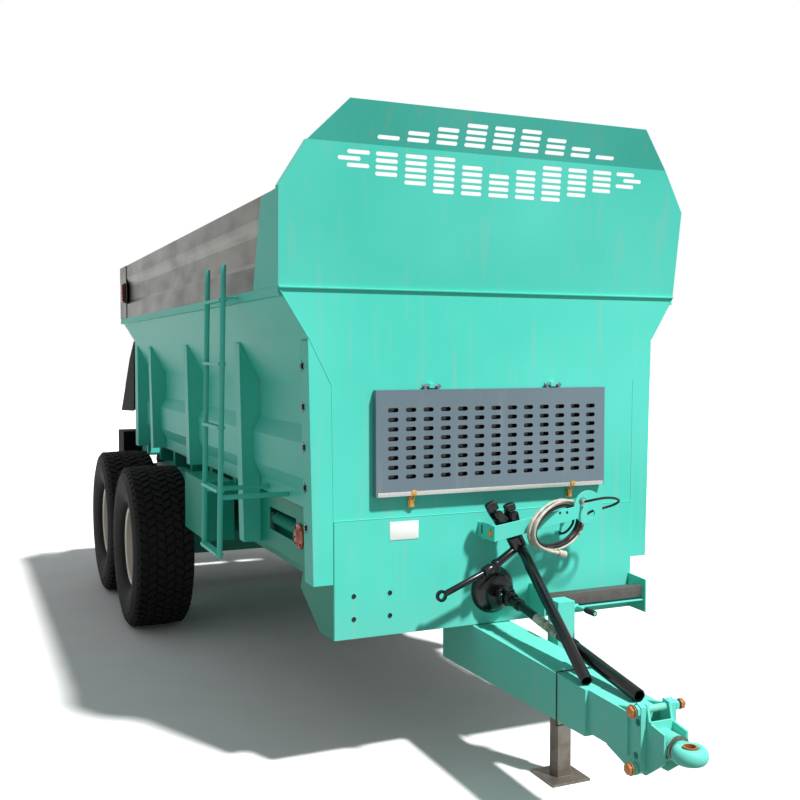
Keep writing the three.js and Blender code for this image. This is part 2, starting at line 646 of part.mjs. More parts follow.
const neckTopAt = (y) => drawbarTop - 24 + ((y + drawbarReach) / (earFront - 70 - drawbarReach)) * 6;
const boxTopAt = (y) => drawbarTop + (y / drawbarReach) * 22;
const tubeRadius = 25;
const shaftEnd = [10, -1150, neckTopAt(-1150) + tubeRadius + 1];
const jointAt = [0, stubY - 70, shaftZ];
const alongShaft = (share) => jointAt.map((v, i) => v + (shaftEnd[i] - v) * share);
const driveShaft = cut(
  join(
    rod([0, stubY - seat, shaftZ], [0, stubY - 44, shaftZ], 36),
    rod([0, stubY - 40, shaftZ], [0, stubY - 100, shaftZ], 46),
    rod(alongShaft(0), alongShaft(0.1), 36),
    rod(alongShaft(0.02), alongShaft(0.6), 21),
    rod(alongShaft(0.56), shaftEnd, tubeRadius, 6),
  ),
  rod(alongShaft(0.7), alongShaft(1.02), tubeRadius - 6, 6),
);
piece('drive_shaft', driveShaft, blackPaint);

// ---------- bracket, stowed shafts, cable ----------
const armY = -160;
const armSheet = 8;
const armRoot = -78;
const armTip = 350;
const armLow = (x) => 1090 + ((x - armRoot) / (armTip - armRoot)) * 75;
const armHigh = (x) => 1163 + ((x - armRoot) / (armTip - armRoot)) * 63;
function shaftBracket() {
  const tab = box(armRoot, armRoot + armSheet, armY - armSheet, -panelSheet - seat, armLow(armRoot), armHigh(armRoot));
  const arm = alongY([
    [armRoot, armLow(armRoot)], [armTip + 30, armLow(armTip + 30)],
    [armTip + 30, armHigh(armTip + 30)], [armRoot, armHigh(armRoot)],
  ], armY - armSheet, armY);
  const eyeDisc = rod([440, armY - armSheet, 1222], [440, armY, 1222], 82, 24);
  const holes = [[408, 1250], [456, 1190]].map(([x, z]) => rod([x, armY - 20, z], [x, armY + 12, z], 22, 16));
  return cut(join(tab, arm, eyeDisc), ...holes);
}
piece('shaft_bracket', shaftBracket(), greenPaint);

// Two half shafts stand crossed behind the bracket, one foot on the drawbar.
const yokeRadius = 40;
const crossY = armY + seat + yokeRadius + 0.2;
const crossing = [86, crossY, 1054];
const longFoot = [-80, -930, boxTopAt(-930) + tubeRadius * 0.92];
const shortEnd = [-310, crossY - 10, 858];
const shortMiddle = [-80, crossY - 5, 949];
const stowedShafts = join(
  rod(longFoot, crossing, tubeRadius, 6),
  rod([86, crossY, 1030], [50, crossY, 1104], yokeRadius),
  rod([50, crossY, 1100], [-72, crossY, 1262], 28),
  rod([60, crossY, 1090], [24, crossY + 8, 1256], 28),
  rod(crossing, shortMiddle, 20),
  rod(shortMiddle, shortEnd, 15),
  revolve([[17, -6], [28, -6], [28, 6], [17, 6]], 16).rotate([90, 0, 0]).translate([-326, crossY - 10, 850]),
);
piece('stowed_shafts', stowedShafts, blackPaint);

// ---------- cable and hose on the bracket ----------
const coilHigh = 99;           // half height and half width of the ring's centre line
const coilWide = 169;
const coilSection = 24;
const coilTurn = 16;           // degrees: its left side in front of the arm, its right side behind
const coilX = 262;
const coilDrop = 68;           // coil centre below the arm's top edge
const coilMiddle = armY - armSheet / 2;
const coilZ = armHigh(coilX) - coilDrop;
const coilSlope = THREE.MathUtils.radToDeg(Math.atan2(armHigh(armTip) - armHigh(armRoot), armTip - armRoot));
const coilSectionPoints = [];
for (let i = 0; i < 8; i += 1) {
  const a = ((i + 0.5) / 8) * 2 * Math.PI;
  coilSectionPoints.push([coilHigh + coilSection * Math.cos(a), coilSection * Math.sin(a)]);
}
const coilRing = revolve(coilSectionPoints, 28).warp((p) => {
  p[0] += ((coilWide - coilHigh) * p[0]) / Math.hypot(p[0], p[1]);
});
const coil = coilRing.rotate([90, 0, 0]).rotate([0, -coilSlope, 0]).rotate([0, 0, coilTurn])
  .translate([coilX, coilMiddle, coilZ]);
piece('cable_coil', coil, cableGrey);

function cable(points, radius) {
  const route = new THREE.CatmullRomCurve3(points.map((p) => new THREE.Vector3(...p)));
  const ring = new THREE.Shape().absarc(0, 0, radius, 0, 2 * Math.PI);
  const steps = Math.max(2, Math.round(route.getLength() / (2.5 * radius)));
  return solid(new THREE.ExtrudeGeometry(ring, { steps, extrudePath: route, bevelEnabled: false, curveSegments: 4 }));
}
const cableRadius = 7;
const hoseRadius = 6;
const leadEnds = [-97.4, -109];  // where the two leads meet the back of the coil
['cable_lead', 'hose_lead'].forEach((name, i) => {
  const [x, z] = glands[i];
  const from = -panelSheet - glandReach - seat;
  const radius = i === 0 ? cableRadius : hoseRadius;
  piece(name, cable([[x, from, z], [x, (from + leadEnds[i]) / 2, z], [x, leadEnds[i], z]], radius), i === 0 ? cableGrey : blackPaint);
});
piece('hose_loop', cable([
  [445.8, -110, 1172], [500, -112, 1182], [546, -140, 1210], [556, -190, 1247], [515, -228, 1277],
  [452, -228, 1276], [414, -200, 1256], [408, -164, 1250], [408, -140, 1248],
], hoseRadius), blackPaint);

// ---------- front step ----------
const stepNear = 206;
const stepFar = 804;
const stepReach = 150;
const stepTop = frontBottom + 133;
function frontStep() {
  const back = -panelSheet - seat;
  const endPlate = [
    [back, frontBottom + 4], [-stepReach, frontBottom + 2], [-stepReach, frontBottom + 168], [back, frontBottom + 176],
  ];
  const ends = [stepNear, stepFar - 8].map((x) => alongX(endPlate, x, x + 8));
  const bar = box(stepNear + 4, stepFar - 4, -130, -76, stepTop - 54, stepTop);
  const shelf = box(stepNear + 4, stepFar - 4, 10 - stepReach, back, stepTop - 72, stepTop - 66);
  const web = box(stepNear + 4, stepFar - 4, -106, -100, stepTop - 70, stepTop - 50);
  return join(...ends, bar, shelf, web);
}
piece('front_step', frontStep(), greenPaint);

// ---------- grille panel ----------
function grillePanel() {
  const back = -5;
  const face = back - grilleDepth;
  const z0 = grilleTop - grilleHeight;
  const shell = cut(
    box(-grilleHalf, grilleHalf, face, back, z0, grilleTop),
    box(3 - grilleHalf, grilleHalf - 3, face + 3, back + 1, z0 + 3, grilleTop - 3),
  );
  const columns = 13;
  const rows = 8;
  const slots = [];
  for (let column = 0; column < columns; column += 1) {
    for (let row = 0; row < rows; row += 1) {
      const x = -535 + (column * 1070) / (columns - 1);
      const z = z0 + 90 + (row * 308) / (rows - 1);
      slots.push(roundSlot(x, z, 52, 20, face - 5, face + 9));
    }
  }
  const pins = both((side) => rod(
    [side * hookX - 40, hookY, hookZ], [side * hookX + 40, hookY, hookZ], hookPin, 10,
  ));
  const lugs = [-1, 1].flatMap((side) => [-34, 34].map((shift) => {
    const x = side * hookX + shift;
    return box(x - 6, x + 6, hookY - 7, hookY + 7, grilleTop - 2, hookZ + 7);
  }));
  return join(cut(shell, ...slots), pins, ...lugs);
}
piece('grille_panel', grillePanel(), greyPaint);

// ---------- rear frame and door ----------
const play = 5;                // air round a sliding or turning piece
const frameSheet = 8;
const frameDepth = 140;
const postDepth = 100;
const rearWall = bodyLength + seat;
const frameBack = rearWall + frameDepth;
const frameHead = brimZ + extensionRise;
const doorY = rearWall + frameSheet + play;
const doorSheet = 6;
const doorHalf = floorHalf + 12;
const doorFoot = floorTop + 60;
const doorTop = shoulderZ + 120;
const postNear = doorHalf + play;
const postFoot = Math.max(2 * tyreRadius + 30, beamTop + 90);
const caseFoot = 985;
const housingNear = floorHalf + 20;
const housingSheet = 8;
const housingFront = frameBack - 1;
const housingRear = bodyLength + 560;
const beaterY = bodyLength + 340;
const beaterZ = [floorZ + 110, floorZ + 130 + 2 * beaterRadius];
const beaterShaft = 34;
const hoodHingeY = frameBack + 46;
const hoodHingeZ = shoulderZ + 20;
const hoodTube = 16;
const band = (side, near, far, ...rest) => {
  const [x0, x1] = [side * near, side * far].sort((a, b) => a - b);
  return box(x0, x1, ...rest);
};

function beaterHousing() {
  const points = [
    [housingFront, caseFoot], [housingRear + 120, caseFoot], [housingRear + 120, 1250],
    [housingRear - 40, 1700], [housingRear - 210, 1870], [hoodHingeY + 26, 1960],
    [hoodHingeY + 26, hoodHingeZ + 26], [housingFront, hoodHingeZ + 26],
  ];
  const bore = (y, z, radius) => rod([floorHalf, y, z], [shoulderHalf, y, z], radius, 16);
  return cut(
    alongX(points, housingNear, housingNear + housingSheet),
    ...beaterZ.map((z) => bore(beaterY, z, beaterShaft + 1)),
    bore(hoodHingeY, hoodHingeZ, hoodTube + 1),
  );
}

function rearFrame() {
  const edge = [
    [floorHalf - 16, postFoot], [floorHalf + 48, postFoot], [floorHalf + 48, shoulderZ - 230],
    [shoulderHalf, shoulderZ], [brimHalf - 2, brimZ], [brimHalf - 2, frameHead], [floorHalf - 16, frameHead],
  ];
  const plates = both((side) => mirrored(alongY(edge, rearWall, rearWall + frameSheet), side));
  const posts = both((side) => band(
    side, postNear, postNear + postDepth, rearWall + frameSheet - 1, frameBack, postFoot, frameHead,
  ));
  const lip = doorY + doorSheet + play;
  const guides = both((side) => band(
    side, floorHalf - 12, postNear + 1, lip, lip + 8, postFoot, frameHead,
  ));
  const head = box(-postNear - 1, postNear + 1, rearWall + 60, frameBack, frameHead - 110, frameHead);
  const sill = box(-postNear - 2, postNear + 2, rearWall + 60, frameBack, beamTop + 1 + seat, postFoot + 40);
  return join(plates, posts, guides, head, sill, both((side) => mirrored(beaterHousing(), side)));
}
piece('rear_frame', rearFrame(), greenPaint);

const stiffenerHalf = floorHalf - 22;
const stiffeners = [doorFoot, (doorFoot + doorTop) / 2 - 30, doorTop - 60].map((z) => box(
  -stiffenerHalf, stiffenerHalf, doorY + doorSheet - 1, doorY + 26, z, z + 60,
));
const shoes = [doorFoot, doorTop - 60].map((z) => both((side) => band(
  side, floorHalf - 8, doorHalf, doorY - play + seat, doorY + doorSheet + play - seat, z, z + 60,
)));
piece('rear_door', join(
  box(-doorHalf, doorHalf, doorY, doorY + doorSheet, doorFoot, doorTop), ...stiffeners, ...shoes,
), greenPaint);

// ---------- beaters ----------
beaterZ.forEach((z, index) => {
  const reach = housingNear + housingSheet - 2;
  const drumHalf = floorHalf - 30;
  const shaft = rod([-reach, beaterY, z], [reach, beaterY, z], beaterShaft, 16);
  const drum = rod([-drumHalf, beaterY, z], [drumHalf, beaterY, z], 84);
  const paddles = [];
  const count = 8;
  for (let i = 0; i < count; i += 1) {
    const x = (drumHalf - 60) * ((2 * i) / (count - 1) - 1);
    const blade = box(x - 6, x + 6, 6 - beaterRadius, beaterRadius - 6, -45, 45);
    paddles.push(blade.rotate([(i % 2) * 90, 0, 0]).translate([0, beaterY, z]));
  }
  piece(`beater_${index === 0 ? 'lower' : 'upper'}`, join(shaft, drum, ...paddles), blackPaint);
});

const caseNear = housingNear + housingSheet + seat;
piece('beater_gearcase', box(-caseNear - 160, -caseNear, beaterY + 20, beaterY + 330, 1000, 1280), blackPaint);

// ---------- rear hood ----------
function rearHood() {
  const tail = [rearEnd - 180, 1440];
  const brow = [hoodHingeY + 243, Math.max(1920, beaterZ[1] + beaterRadius + 42)];
  const skin = alongX([
    [hoodHingeY, hoodHingeZ + 10], [hoodHingeY + 10, hoodHingeZ + 14], [brow[0] + 4, brow[1] + 6],
    [tail[0] + 6, tail[1] + 4], tail, brow, [hoodHingeY, hoodHingeZ - 10],
  ], -shoulderHalf, shoulderHalf);
  const cheeks = both((side) => {
    const [x0, x1] = [side * (shoulderHalf - 4), side * shoulderHalf].sort((a, b) => a - b);
    return alongX([[hoodHingeY + 30, 1470], tail, brow, [hoodHingeY + 10, hoodHingeZ]], x0, x1);
  });
  const tube = rod(
    [-shoulderHalf, hoodHingeY, hoodHingeZ], [shoulderHalf, hoodHingeY, hoodHingeZ], hoodTube,
  );
  const relief = both((side) => band(
    side, housingNear - play, housingNear + housingSheet + play,
    hoodHingeY - 60, hoodHingeY + 60, hoodHingeZ - 60, hoodHingeZ + 60,
  ));
  return join(cut(skin, relief), cheeks, tube);
}
piece('rear_hood', rearHood(), blackPaint);

// ---------- spinner deck ----------
const discY = housingRear + 120;
const deckZ = 800;
const gearboxRise = 70;
const discLift = 30;
function spinnerDeck() {
  const arms = both((side) => band(
    side, beamHalf - 35, beamHalf + 35, frameRear + seat, rearEnd - 60, deckZ - 10, deckZ + 60,
  ));
  const risers = both((side) => band(
    side, beamHalf - 35, beamHalf + 35, frameRear + seat, frameRear + 60, deckZ, beamBottom + 110,
  ));
  const cross = [discY - 40, rearEnd - 61].map((y) => box(-beamHalf, beamHalf, y, y + 60, deckZ - 10, deckZ + 40));
  const gearboxes = both((side) => band(
    side, discX - 90, discX + 90, discY - 90, discY + 90, deckZ - 60, deckZ + gearboxRise,
  ));
  const lip = box(40 - shoulderHalf, shoulderHalf - 40, rearEnd - 6, rearEnd, deckZ - 40, deckZ + 90);
  return join(arms, risers, ...cross, gearboxes, lip);
}
piece('spinner_deck', spinnerDeck(), deepGreen);

sides.forEach(([hand, side]) => {
  const z = deckZ + gearboxRise + seat;
  const plate = rod([0, 0, z + discLift], [0, 0, z + discLift + 8], discRadius, 28);
  const hub = rod([0, 0, z], [0, 0, z + 60], 70, 16);
  const vanes = [0, 1, 2, 3].map((i) => (
    box(60, discRadius - 6, -4, 4, z + discLift + 7, z + discLift + 65).rotate([0, 0, i * 90 + 20])
  ));
  piece(`spinner_disc_${hand}`, join(plate, hub, ...vanes).translate([side * discX, discY, 0]), bareSteel);
});

// ---------- oil tank ----------
const tankNear = floorHalf - 1 + seat;
piece('oil_tank', box(-tankNear - 175, -tankNear, 1780, 2390, 830, floorZ - 18), deepGreen);

export default machine;
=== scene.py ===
import bpy
import bmesh
import json
import math
from mathutils import Matrix, Vector


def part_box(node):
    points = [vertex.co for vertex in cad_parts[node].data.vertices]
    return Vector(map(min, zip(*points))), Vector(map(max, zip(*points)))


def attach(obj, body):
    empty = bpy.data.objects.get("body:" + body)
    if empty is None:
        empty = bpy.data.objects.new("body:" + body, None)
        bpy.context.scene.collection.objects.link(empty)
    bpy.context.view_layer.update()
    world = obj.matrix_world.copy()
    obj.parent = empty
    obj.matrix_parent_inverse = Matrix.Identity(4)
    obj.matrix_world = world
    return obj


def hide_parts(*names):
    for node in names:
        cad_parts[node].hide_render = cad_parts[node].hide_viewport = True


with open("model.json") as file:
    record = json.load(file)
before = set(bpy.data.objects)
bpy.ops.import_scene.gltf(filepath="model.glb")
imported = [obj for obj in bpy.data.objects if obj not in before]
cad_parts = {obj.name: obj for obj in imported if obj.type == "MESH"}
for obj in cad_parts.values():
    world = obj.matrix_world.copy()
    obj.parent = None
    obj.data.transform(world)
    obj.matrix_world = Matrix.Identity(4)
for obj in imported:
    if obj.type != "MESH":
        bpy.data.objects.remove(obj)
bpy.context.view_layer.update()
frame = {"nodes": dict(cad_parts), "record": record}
nodes = frame["nodes"]
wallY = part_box("hopper_side_left")[0].y - 0.0063  # front face of the front wall
scene = bpy.context.scene
print("frame loaded")

# camera, light and floor
view = {
    "place": (-2.364, -6.3755, 1.96),
    "turn": (90 - 2.539, 0, -23.674),  # degrees
    "lens": 45.675,
    "sun": 5.3,
    "sunTurn": (33, 0, 26),  # degrees: high, a little from the machine's left
    "sky": 0.34,
}
bpy.ops.object.camera_add(location=view["place"], rotation=[math.radians(a) for a in view["turn"]])
camera = bpy.context.object
camera.name = "mainCamera"
camera.data.lens = view["lens"]
camera.data.sensor_width = 36
camera.data.clip_end = 300
scene.camera = camera


# sRGB hex to linear RGBA
def linear(hexColour):
    rgb = [int(hexColour[i:i + 2], 16) / 255 for i in (1, 3, 5)]
    return [c / 12.92 if c <= 0.04045 else ((c + 0.055) / 1.055) ** 2.4 for c in rgb] + [1]


def addNode(tree, kind, inputs=None, links=None, **settings):
    node = tree.nodes.new(kind)
    for name, value in settings.items():
        setattr(node, name, value)
    for name, value in (inputs or {}).items():
        node.inputs[name].default_value = value
    for name, source in (links or {}).items():
        tree.links.new(source, node.inputs[name])
    return node


bpy.ops.object.light_add(type="SUN", rotation=[math.radians(a) for a in view["sunTurn"]])
sun = bpy.context.object
sun.name = "keyLight"
sun.data.energy = view["sun"]
sun.data.angle = math.radians(4)

world = bpy.data.worlds.new("studio")
scene.world = world
world.use_nodes = True
sky = world.node_tree
sky.nodes.clear()
ray = addNode(sky, "ShaderNodeLightPath")
seen = addNode(sky, "ShaderNodeMath", operation="MAXIMUM",
               links={0: ray.outputs["Is Camera Ray"], 1: ray.outputs["Is Glossy Ray"]})
seen = addNode(sky, "ShaderNodeMath", operation="MAXIMUM",
               links={0: seen.outputs[0], 1: ray.outputs["Is Transmission Ray"]})
dim = addNode(sky, "ShaderNodeBackground", {"Color": (0.93, 0.97, 1, 1), "Strength": view["sky"]})
white = addNode(sky, "ShaderNodeBackground", {"Color": (1, 1, 1, 1), "Strength": 1.0})
mixed = addNode(sky, "ShaderNodeMixShader", links={0: seen.outputs[0], 1: dim.outputs[0], 2: white.outputs[0]})
addNode(sky, "ShaderNodeOutputWorld", links={"Surface": mixed.outputs[0]})
scene.view_settings.view_transform = "Standard"


# a node material: build(tree, principled, position) adds what the finish needs
def material(name, build, **shader):
    made = bpy.data.materials.new(name)
    made.use_nodes = True
    tree = made.node_tree
    tree.nodes.clear()
    out = addNode(tree, "ShaderNodeOutputMaterial")
    principled = addNode(tree, "ShaderNodeBsdfPrincipled", {k.replace("_", " "): v for k, v in shader.items()})
    tree.links.new(principled.outputs[0], out.inputs["Surface"])
    position = addNode(tree, "ShaderNodeTexCoord").outputs["Object"]
    build(tree, principled, position)
    made.diffuse_color = (0.5, 0.5, 0.5, 1)
    return made


# noise whose grain is size metres across; stretch above 1 draws it out along that axis
def noise(tree, position, size, detail=2.0, stretch=(1, 1, 1)):
    scale = [1 / (size * s) for s in stretch]
    placed = addNode(tree, "ShaderNodeMapping", {"Scale": scale}, {"Vector": position})
    grain = addNode(tree, "ShaderNodeTexNoise", {"Scale": 1.0, "Detail": detail}, {"Vector": placed.outputs[0]})
    return grain.outputs["Fac"]


def blendColours(tree, factor, low, high, start=0.35, end=0.65):
    ramp = addNode(tree, "ShaderNodeMapRange", {"From Min": start, "From Max": end}, {"Value": factor})
    mix = addNode(tree, "ShaderNodeMix", links={0: ramp.outputs[0]}, data_type="RGBA")
    mix.inputs[6].default_value = linear(low)
    mix.inputs[7].default_value = linear(high)
    return mix.outputs[2]


# the base colour: tone, with another colour laid over it where cover is high
def overlay(tree, principled, tone, cover, colour):
    mix = addNode(tree, "ShaderNodeMix", links={0: cover, 6: tone}, data_type="RGBA")
    mix.inputs[7].default_value = linear(colour)
    tree.links.new(mix.outputs[2], principled.inputs["Base Color"])


def bump(tree, principled, height, distance, strength=0.4):
    rise = addNode(tree, "ShaderNodeBump", {"Strength": strength, "Distance": distance}, {"Height": height})
    tree.links.new(rise.outputs[0], principled.inputs["Normal"])


def spread(tree, principled, factor, low, high):
    ramp = addNode(tree, "ShaderNodeMapRange", {"To Min": low, "To Max": high}, {"Value": factor})
    tree.links.new(ramp.outputs[0], principled.inputs["Roughness"])


# sprayed enamel: two close tones in soft clouds, faint orange peel, and dust that thickens low down
def enamel(low, high, dusty, peel=0.010, dustTop=0.9):
    def build(tree, principled, position):
        clouds = noise(tree, position, 0.9, 3)
        tone = blendColours(tree, clouds, low, high)
        streaks = noise(tree, position, 0.05, 4, (1, 1, 14))
        height = addNode(tree, "ShaderNodeSeparateXYZ", links={0: position}).outputs[2]
        limits = {"From Min": dustTop, "From Max": 0.1, "To Min": 0.0, "To Max": 0.45}
        lowDown = addNode(tree, "ShaderNodeMapRange", limits, {"Value": height})
        grime = addNode(tree, "ShaderNodeMapRange", {"From Min": 0.56, "From Max": 0.74}, {"Value": streaks})
        dust = addNode(tree, "ShaderNodeMath", {1: 0.22}, {0: grime.outputs[0]}, operation="MULTIPLY")
        dust = addNode(tree, "ShaderNodeMath", links={0: dust.outputs[0], 1: lowDown.outputs[0]},
                       operation="ADD", use_clamp=True)
        overlay(tree, principled, tone, dust.outputs[0], dusty)
        spread(tree, principled, clouds, 0.36, 0.52)
        bump(tree, principled, noise(tree, position, peel, 2), 0.0006, 0.25)
    return build


def ground(tree, principled, position):
    # pale to the eye and in reflections, while a greyer ground sends less light up under the body
    fine = noise(tree, position, 0.4, 3)
    pale = blendColours(tree, fine, "#f4f4f2", "#f8f8f6")
    path = addNode(tree, "ShaderNodeLightPath")
    direct = addNode(tree, "ShaderNodeMath", operation="MAXIMUM",
                     links={0: path.outputs["Is Camera Ray"], 1: path.outputs["Is Glossy Ray"]})
    direct = addNode(tree, "ShaderNodeMath", operation="MAXIMUM",
                     links={0: direct.outputs[0], 1: path.outputs["Is Transmission Ray"]})
    mix = addNode(tree, "ShaderNodeMix", links={0: direct.outputs[0], 7: pale}, data_type="RGBA")
    mix.inputs[6].default_value = linear("#7d7c78")
    tree.links.new(mix.outputs[2], principled.inputs["Base Color"])


floorPaint = material("paleFloor", ground, Roughness=0.9)
bpy.ops.mesh.primitive_plane_add(size=120, location=(0, 0, -0.0005))
floor = bpy.context.object
floor.name = "studioFloor"
floor.data.materials.append(floorPaint)


def brushedSteel(tree, principled, position):
    # rolled stainless sheet: fine lines drawn along the machine, darker stains where it has weathered, and a dark olive
    # grey tone that is painted reflection of dark surroundings
    lines = noise(tree, position, 0.002, 3, (1, 260, 1))
    # dark olive grey over the whole sheet: painted reflection of dark surroundings, not the steel's own brightness
    tone = blendColours(tree, lines, "#474841", "#55564d", 0.3, 0.7)
    stains = noise(tree, position, 0.16, 4, (1, 2.5, 1))
    cover = addNode(tree, "ShaderNodeMapRange", {"From Min": 0.46, "From Max": 0.7, "To Max": 0.7}, {"Value": stains})
    overlay(tree, principled, tone, cover.outputs[0], "#2a2a25")
    spread(tree, principled, stains, 0.2, 0.42)
    bump(tree, principled, lines, 0.0002, 0.1)


# bare working steel: scale and rust in patches
def millSteel(low, high, rust, amount):
    def build(tree, principled, position):
        patches = noise(tree, position, 0.06, 5)
        fine = noise(tree, position, 0.006, 3)
        tone = blendColours(tree, fine, low, high)
        limits = {"From Min": 1 - amount, "From Max": 1.4 - amount}
        cover = addNode(tree, "ShaderNodeMapRange", limits, {"Value": patches})
        overlay(tree, principled, tone, cover.outputs[0], rust)
        spread(tree, principled, patches, 0.35, 0.75)
        bump(tree, principled, fine, 0.0006, 0.35)
    return build


# black sprayed paint or moulded plastic with a fine grain; roughness runs from gloss to dull
def satinBlack(low, high, grain=0.004, gloss=0.28, dull=0.5):
    def build(tree, principled, position):
        fine = noise(tree, position, grain, 3)
        wide = noise(tree, position, 0.25, 3)
        tree.links.new(blendColours(tree, wide, low, high), principled.inputs["Base Color"])
        spread(tree, principled, wide, gloss, dull)
        bump(tree, principled, fine, 0.0004, 0.25)
    return build


# moulded rubber: dull black, dust held in patches
def rubberBlack(dust, grain=0.003):
    def build(tree, principled, position):
        wide = noise(tree, position, 0.18, 4)
        tone = blendColours(tree, wide, "#080808", "#100f0f")
        patches = noise(tree, position, 0.05, 5)
        limits = {"From Min": 0.52, "From Max": 0.8, "To Max": 0.2}
        cover = addNode(tree, "ShaderNodeMapRange", limits, {"Value": patches})
        overlay(tree, principled, tone, cover.outputs[0], dust)
        spread(tree, principled, wide, 0.7, 0.9)
        bump(tree, principled, noise(tree, position, grain, 3), 0.0006, 0.3)
    return build


greenEnamel = material("greenEnamel", enamel("#4fcbb8", "#5dd5c4", "#9fb8ab"), Specular_IOR_Level=0.12)
# the frame's enamel is the body's green paint made darker, dust tone included: painted shade for the frame under the
# body
shadedFrameEnamel = material("shadedFrameEnamel", enamel("#189079", "#209c86", "#6f8274"), Specular_IOR_Level=0.1)
greyEnamel = material("greyEnamel", enamel("#586a74", "#63757f", "#8f9692"), Coat_Weight=0.2, Coat_Roughness=0.15)
creamEnamel = material("creamEnamel", enamel("#d3cdbd", "#dcd6c8", "#8d806b", dustTop=0.7))
stainlessSheet = material("stainlessSheet", brushedSteel, Metallic=1.0, Anisotropic=0.4)
# the rear hood and the gear case are matt, the shafts and hubs glossier
dullBlack = material("dullBlack", satinBlack("#0b0c0d", "#151718", 0.004, 0.62, 0.78), Specular_IOR_Level=0.06)
blackEnamel = material("blackEnamel", satinBlack("#08090a", "#101214", 0.004, 0.16, 0.3), Specular_IOR_Level=0.35)
wornSteel = material("wornSteel", millSteel("#6b665f", "#7f7a72", "#63503f", 0.55), Metallic=0.8)
zincSteel = material("zincSteel", millSteel("#a8a9a6", "#bcbdb9", "#8c7a63", 0.3), Metallic=0.85)
brassZinc = material("brassZinc", millSteel("#b98b45", "#cc9f57", "#7a4a26", 0.45), Metallic=0.8)
rustyPin = material("rustyPin", millSteel("#9a6136", "#b3733f", "#6d3f22", 0.5), Metallic=0.3)
tyreRubber = material("tyreRubber", rubberBlack("#3f3a32"), Specular_IOR_Level=0.2)
hoseRubber = material("hoseRubber", rubberBlack("#2c2b29", 0.0015))
weatheredStrip = material("weatheredStrip", millSteel("#3f3d3a", "#57544f", "#2c2a27", 0.5), Metallic=0.0)


# moulded acrylic lens with fine prism ribs
def lensPlastic(low, high):
    def build(tree, principled, position):
        wide = noise(tree, position, 0.08, 2)
        tree.links.new(blendColours(tree, wide, low, high), principled.inputs["Base Color"])
        ribs = addNode(tree, "ShaderNodeTexWave", {"Scale": 45.0}, {"Vector": position}, bands_direction="Z")
        bump(tree, principled, ribs.outputs["Fac"], 0.0008, 0.5)
        spread(tree, principled, wide, 0.08, 0.18)
    return build


def paperTape(tree, principled, position):
    # pale tape with dirt rubbed in
    patches = noise(tree, position, 0.03, 5)
    tree.links.new(blendColours(tree, patches, "#b9c3b6", "#5d6a58", 0.42, 0.66), principled.inputs["Base Color"])
    spread(tree, principled, patches, 0.5, 0.8)
    bump(tree, principled, noise(tree, position, 0.004, 3), 0.0003, 0.3)


redLens = material("redLens", lensPlastic("#a8141a", "#c4222a"), Coat_Weight=0.5)
amberLens = material("amberLens", lensPlastic("#c46a12", "#d9821f"), Coat_Weight=0.5)
paleTape = material("paleTape", paperTape)
platePaint = material("platePaint", satinBlack("#e2e6e2", "#eef0ec", 0.01))
bearingOrange = material("bearingOrange", enamel("#8f2f12", "#a33d1c", "#5a4433"), Coat_Weight=0.2)
print("finishes made")

bodyMaterials = {
    "painted_green": greenEnamel, "deep_green": shadedFrameEnamel, "grey_paint": greyEnamel, "stainless": stainlessSheet,
    "black_paint": dullBlack, "bare_steel": wornSteel, "tyre": tyreRubber, "rim_paint": creamEnamel,
    "cable_grey": zincSteel, "hose_black": hoseRubber, "red_lens": redLens,
}


# making pieces
def clearSelection():
    if bpy.context.object and bpy.context.object.mode != "OBJECT":
        bpy.ops.object.mode_set(mode="OBJECT")
    bpy.ops.object.select_all(action="DESELECT")


mergeDistance = 0.00002  # vertices closer than this are one


def selectOnly(obj):
    clearSelection()
    obj.select_set(True)
    bpy.context.view_layer.objects.active = obj


def settle(obj, name):
    # the piece's place goes into its mesh
    obj.name = name
    selectOnly(obj)
    bpy.ops.object.transform_apply(location=True, rotation=True, scale=True)
    return obj


def edges(obj, width, segments=2, angle=30):
    # rounded edges, as a folded or ground edge has
    rounding = obj.modifiers.new("rounding", "BEVEL")
    rounding.width = width
    rounding.segments = segments
    rounding.limit_method = "ANGLE"
    rounding.angle_limit = math.radians(angle)
    bpy.context.view_layer.objects.active = obj
    bpy.ops.object.modifier_apply(modifier=rounding.name)


def block(name, low, high, round=0.0015):
    clearSelection()
    centre = [(a + b) / 2 for a, b in zip(low, high)]
    bpy.ops.mesh.primitive_cube_add(size=1, location=centre)
    made = bpy.context.object
    made.scale = [b - a for a, b in zip(low, high)]
    settle(made, name)
    if round:
        edges(made, round)
    return made


def rod(name, start, end, radius, sides=20, round=0.0, endRadius=None):
    clearSelection()
    start, end = Vector(start), Vector(end)
    along = end - start
    bpy.ops.mesh.primitive_cone_add(
        vertices=sides, radius1=radius, radius2=radius if endRadius is None else endRadius,
        depth=along.length, location=(start + end) / 2, rotation=along.to_track_quat("Z", "Y").to_euler())
    made = settle(bpy.context.object, name)
    if round:
        edges(made, round)
    return made


def plate(name, outline, depth, place, round=0.0):
    # a sheet cut to an outline and extruded; place turns it from its own XY plane
    clearSelection()
    bpy.ops.mesh.primitive_circle_add(vertices=len(outline), radius=1, fill_type="NGON")
    made = bpy.context.object
    for vertex, point in zip(made.data.vertices, outline):
        vertex.co = (point[0], point[1], 0)
    bpy.ops.object.mode_set(mode="EDIT")
    bpy.ops.mesh.select_all(action="SELECT")
    bpy.ops.mesh.extrude_region_move(TRANSFORM_OT_translate={"value": (0, 0, depth)})
    bpy.ops.mesh.select_all(action="SELECT")
    bpy.ops.mesh.normals_make_consistent(inside=False)
    bpy.ops.object.mode_set(mode="OBJECT")
    made.data.transform(place)
    made.name = name
    if place.determinant() < 0:
        facesOut(made)
    if round:
        edges(made, round)
    return made


def facesOut(obj):
    selectOnly(obj)
    bpy.ops.object.mode_set(mode="EDIT")
    bpy.ops.mesh.select_all(action="SELECT")
    bpy.ops.mesh.normals_make_consistent(inside=False)
    bpy.ops.object.mode_set(mode="OBJECT")


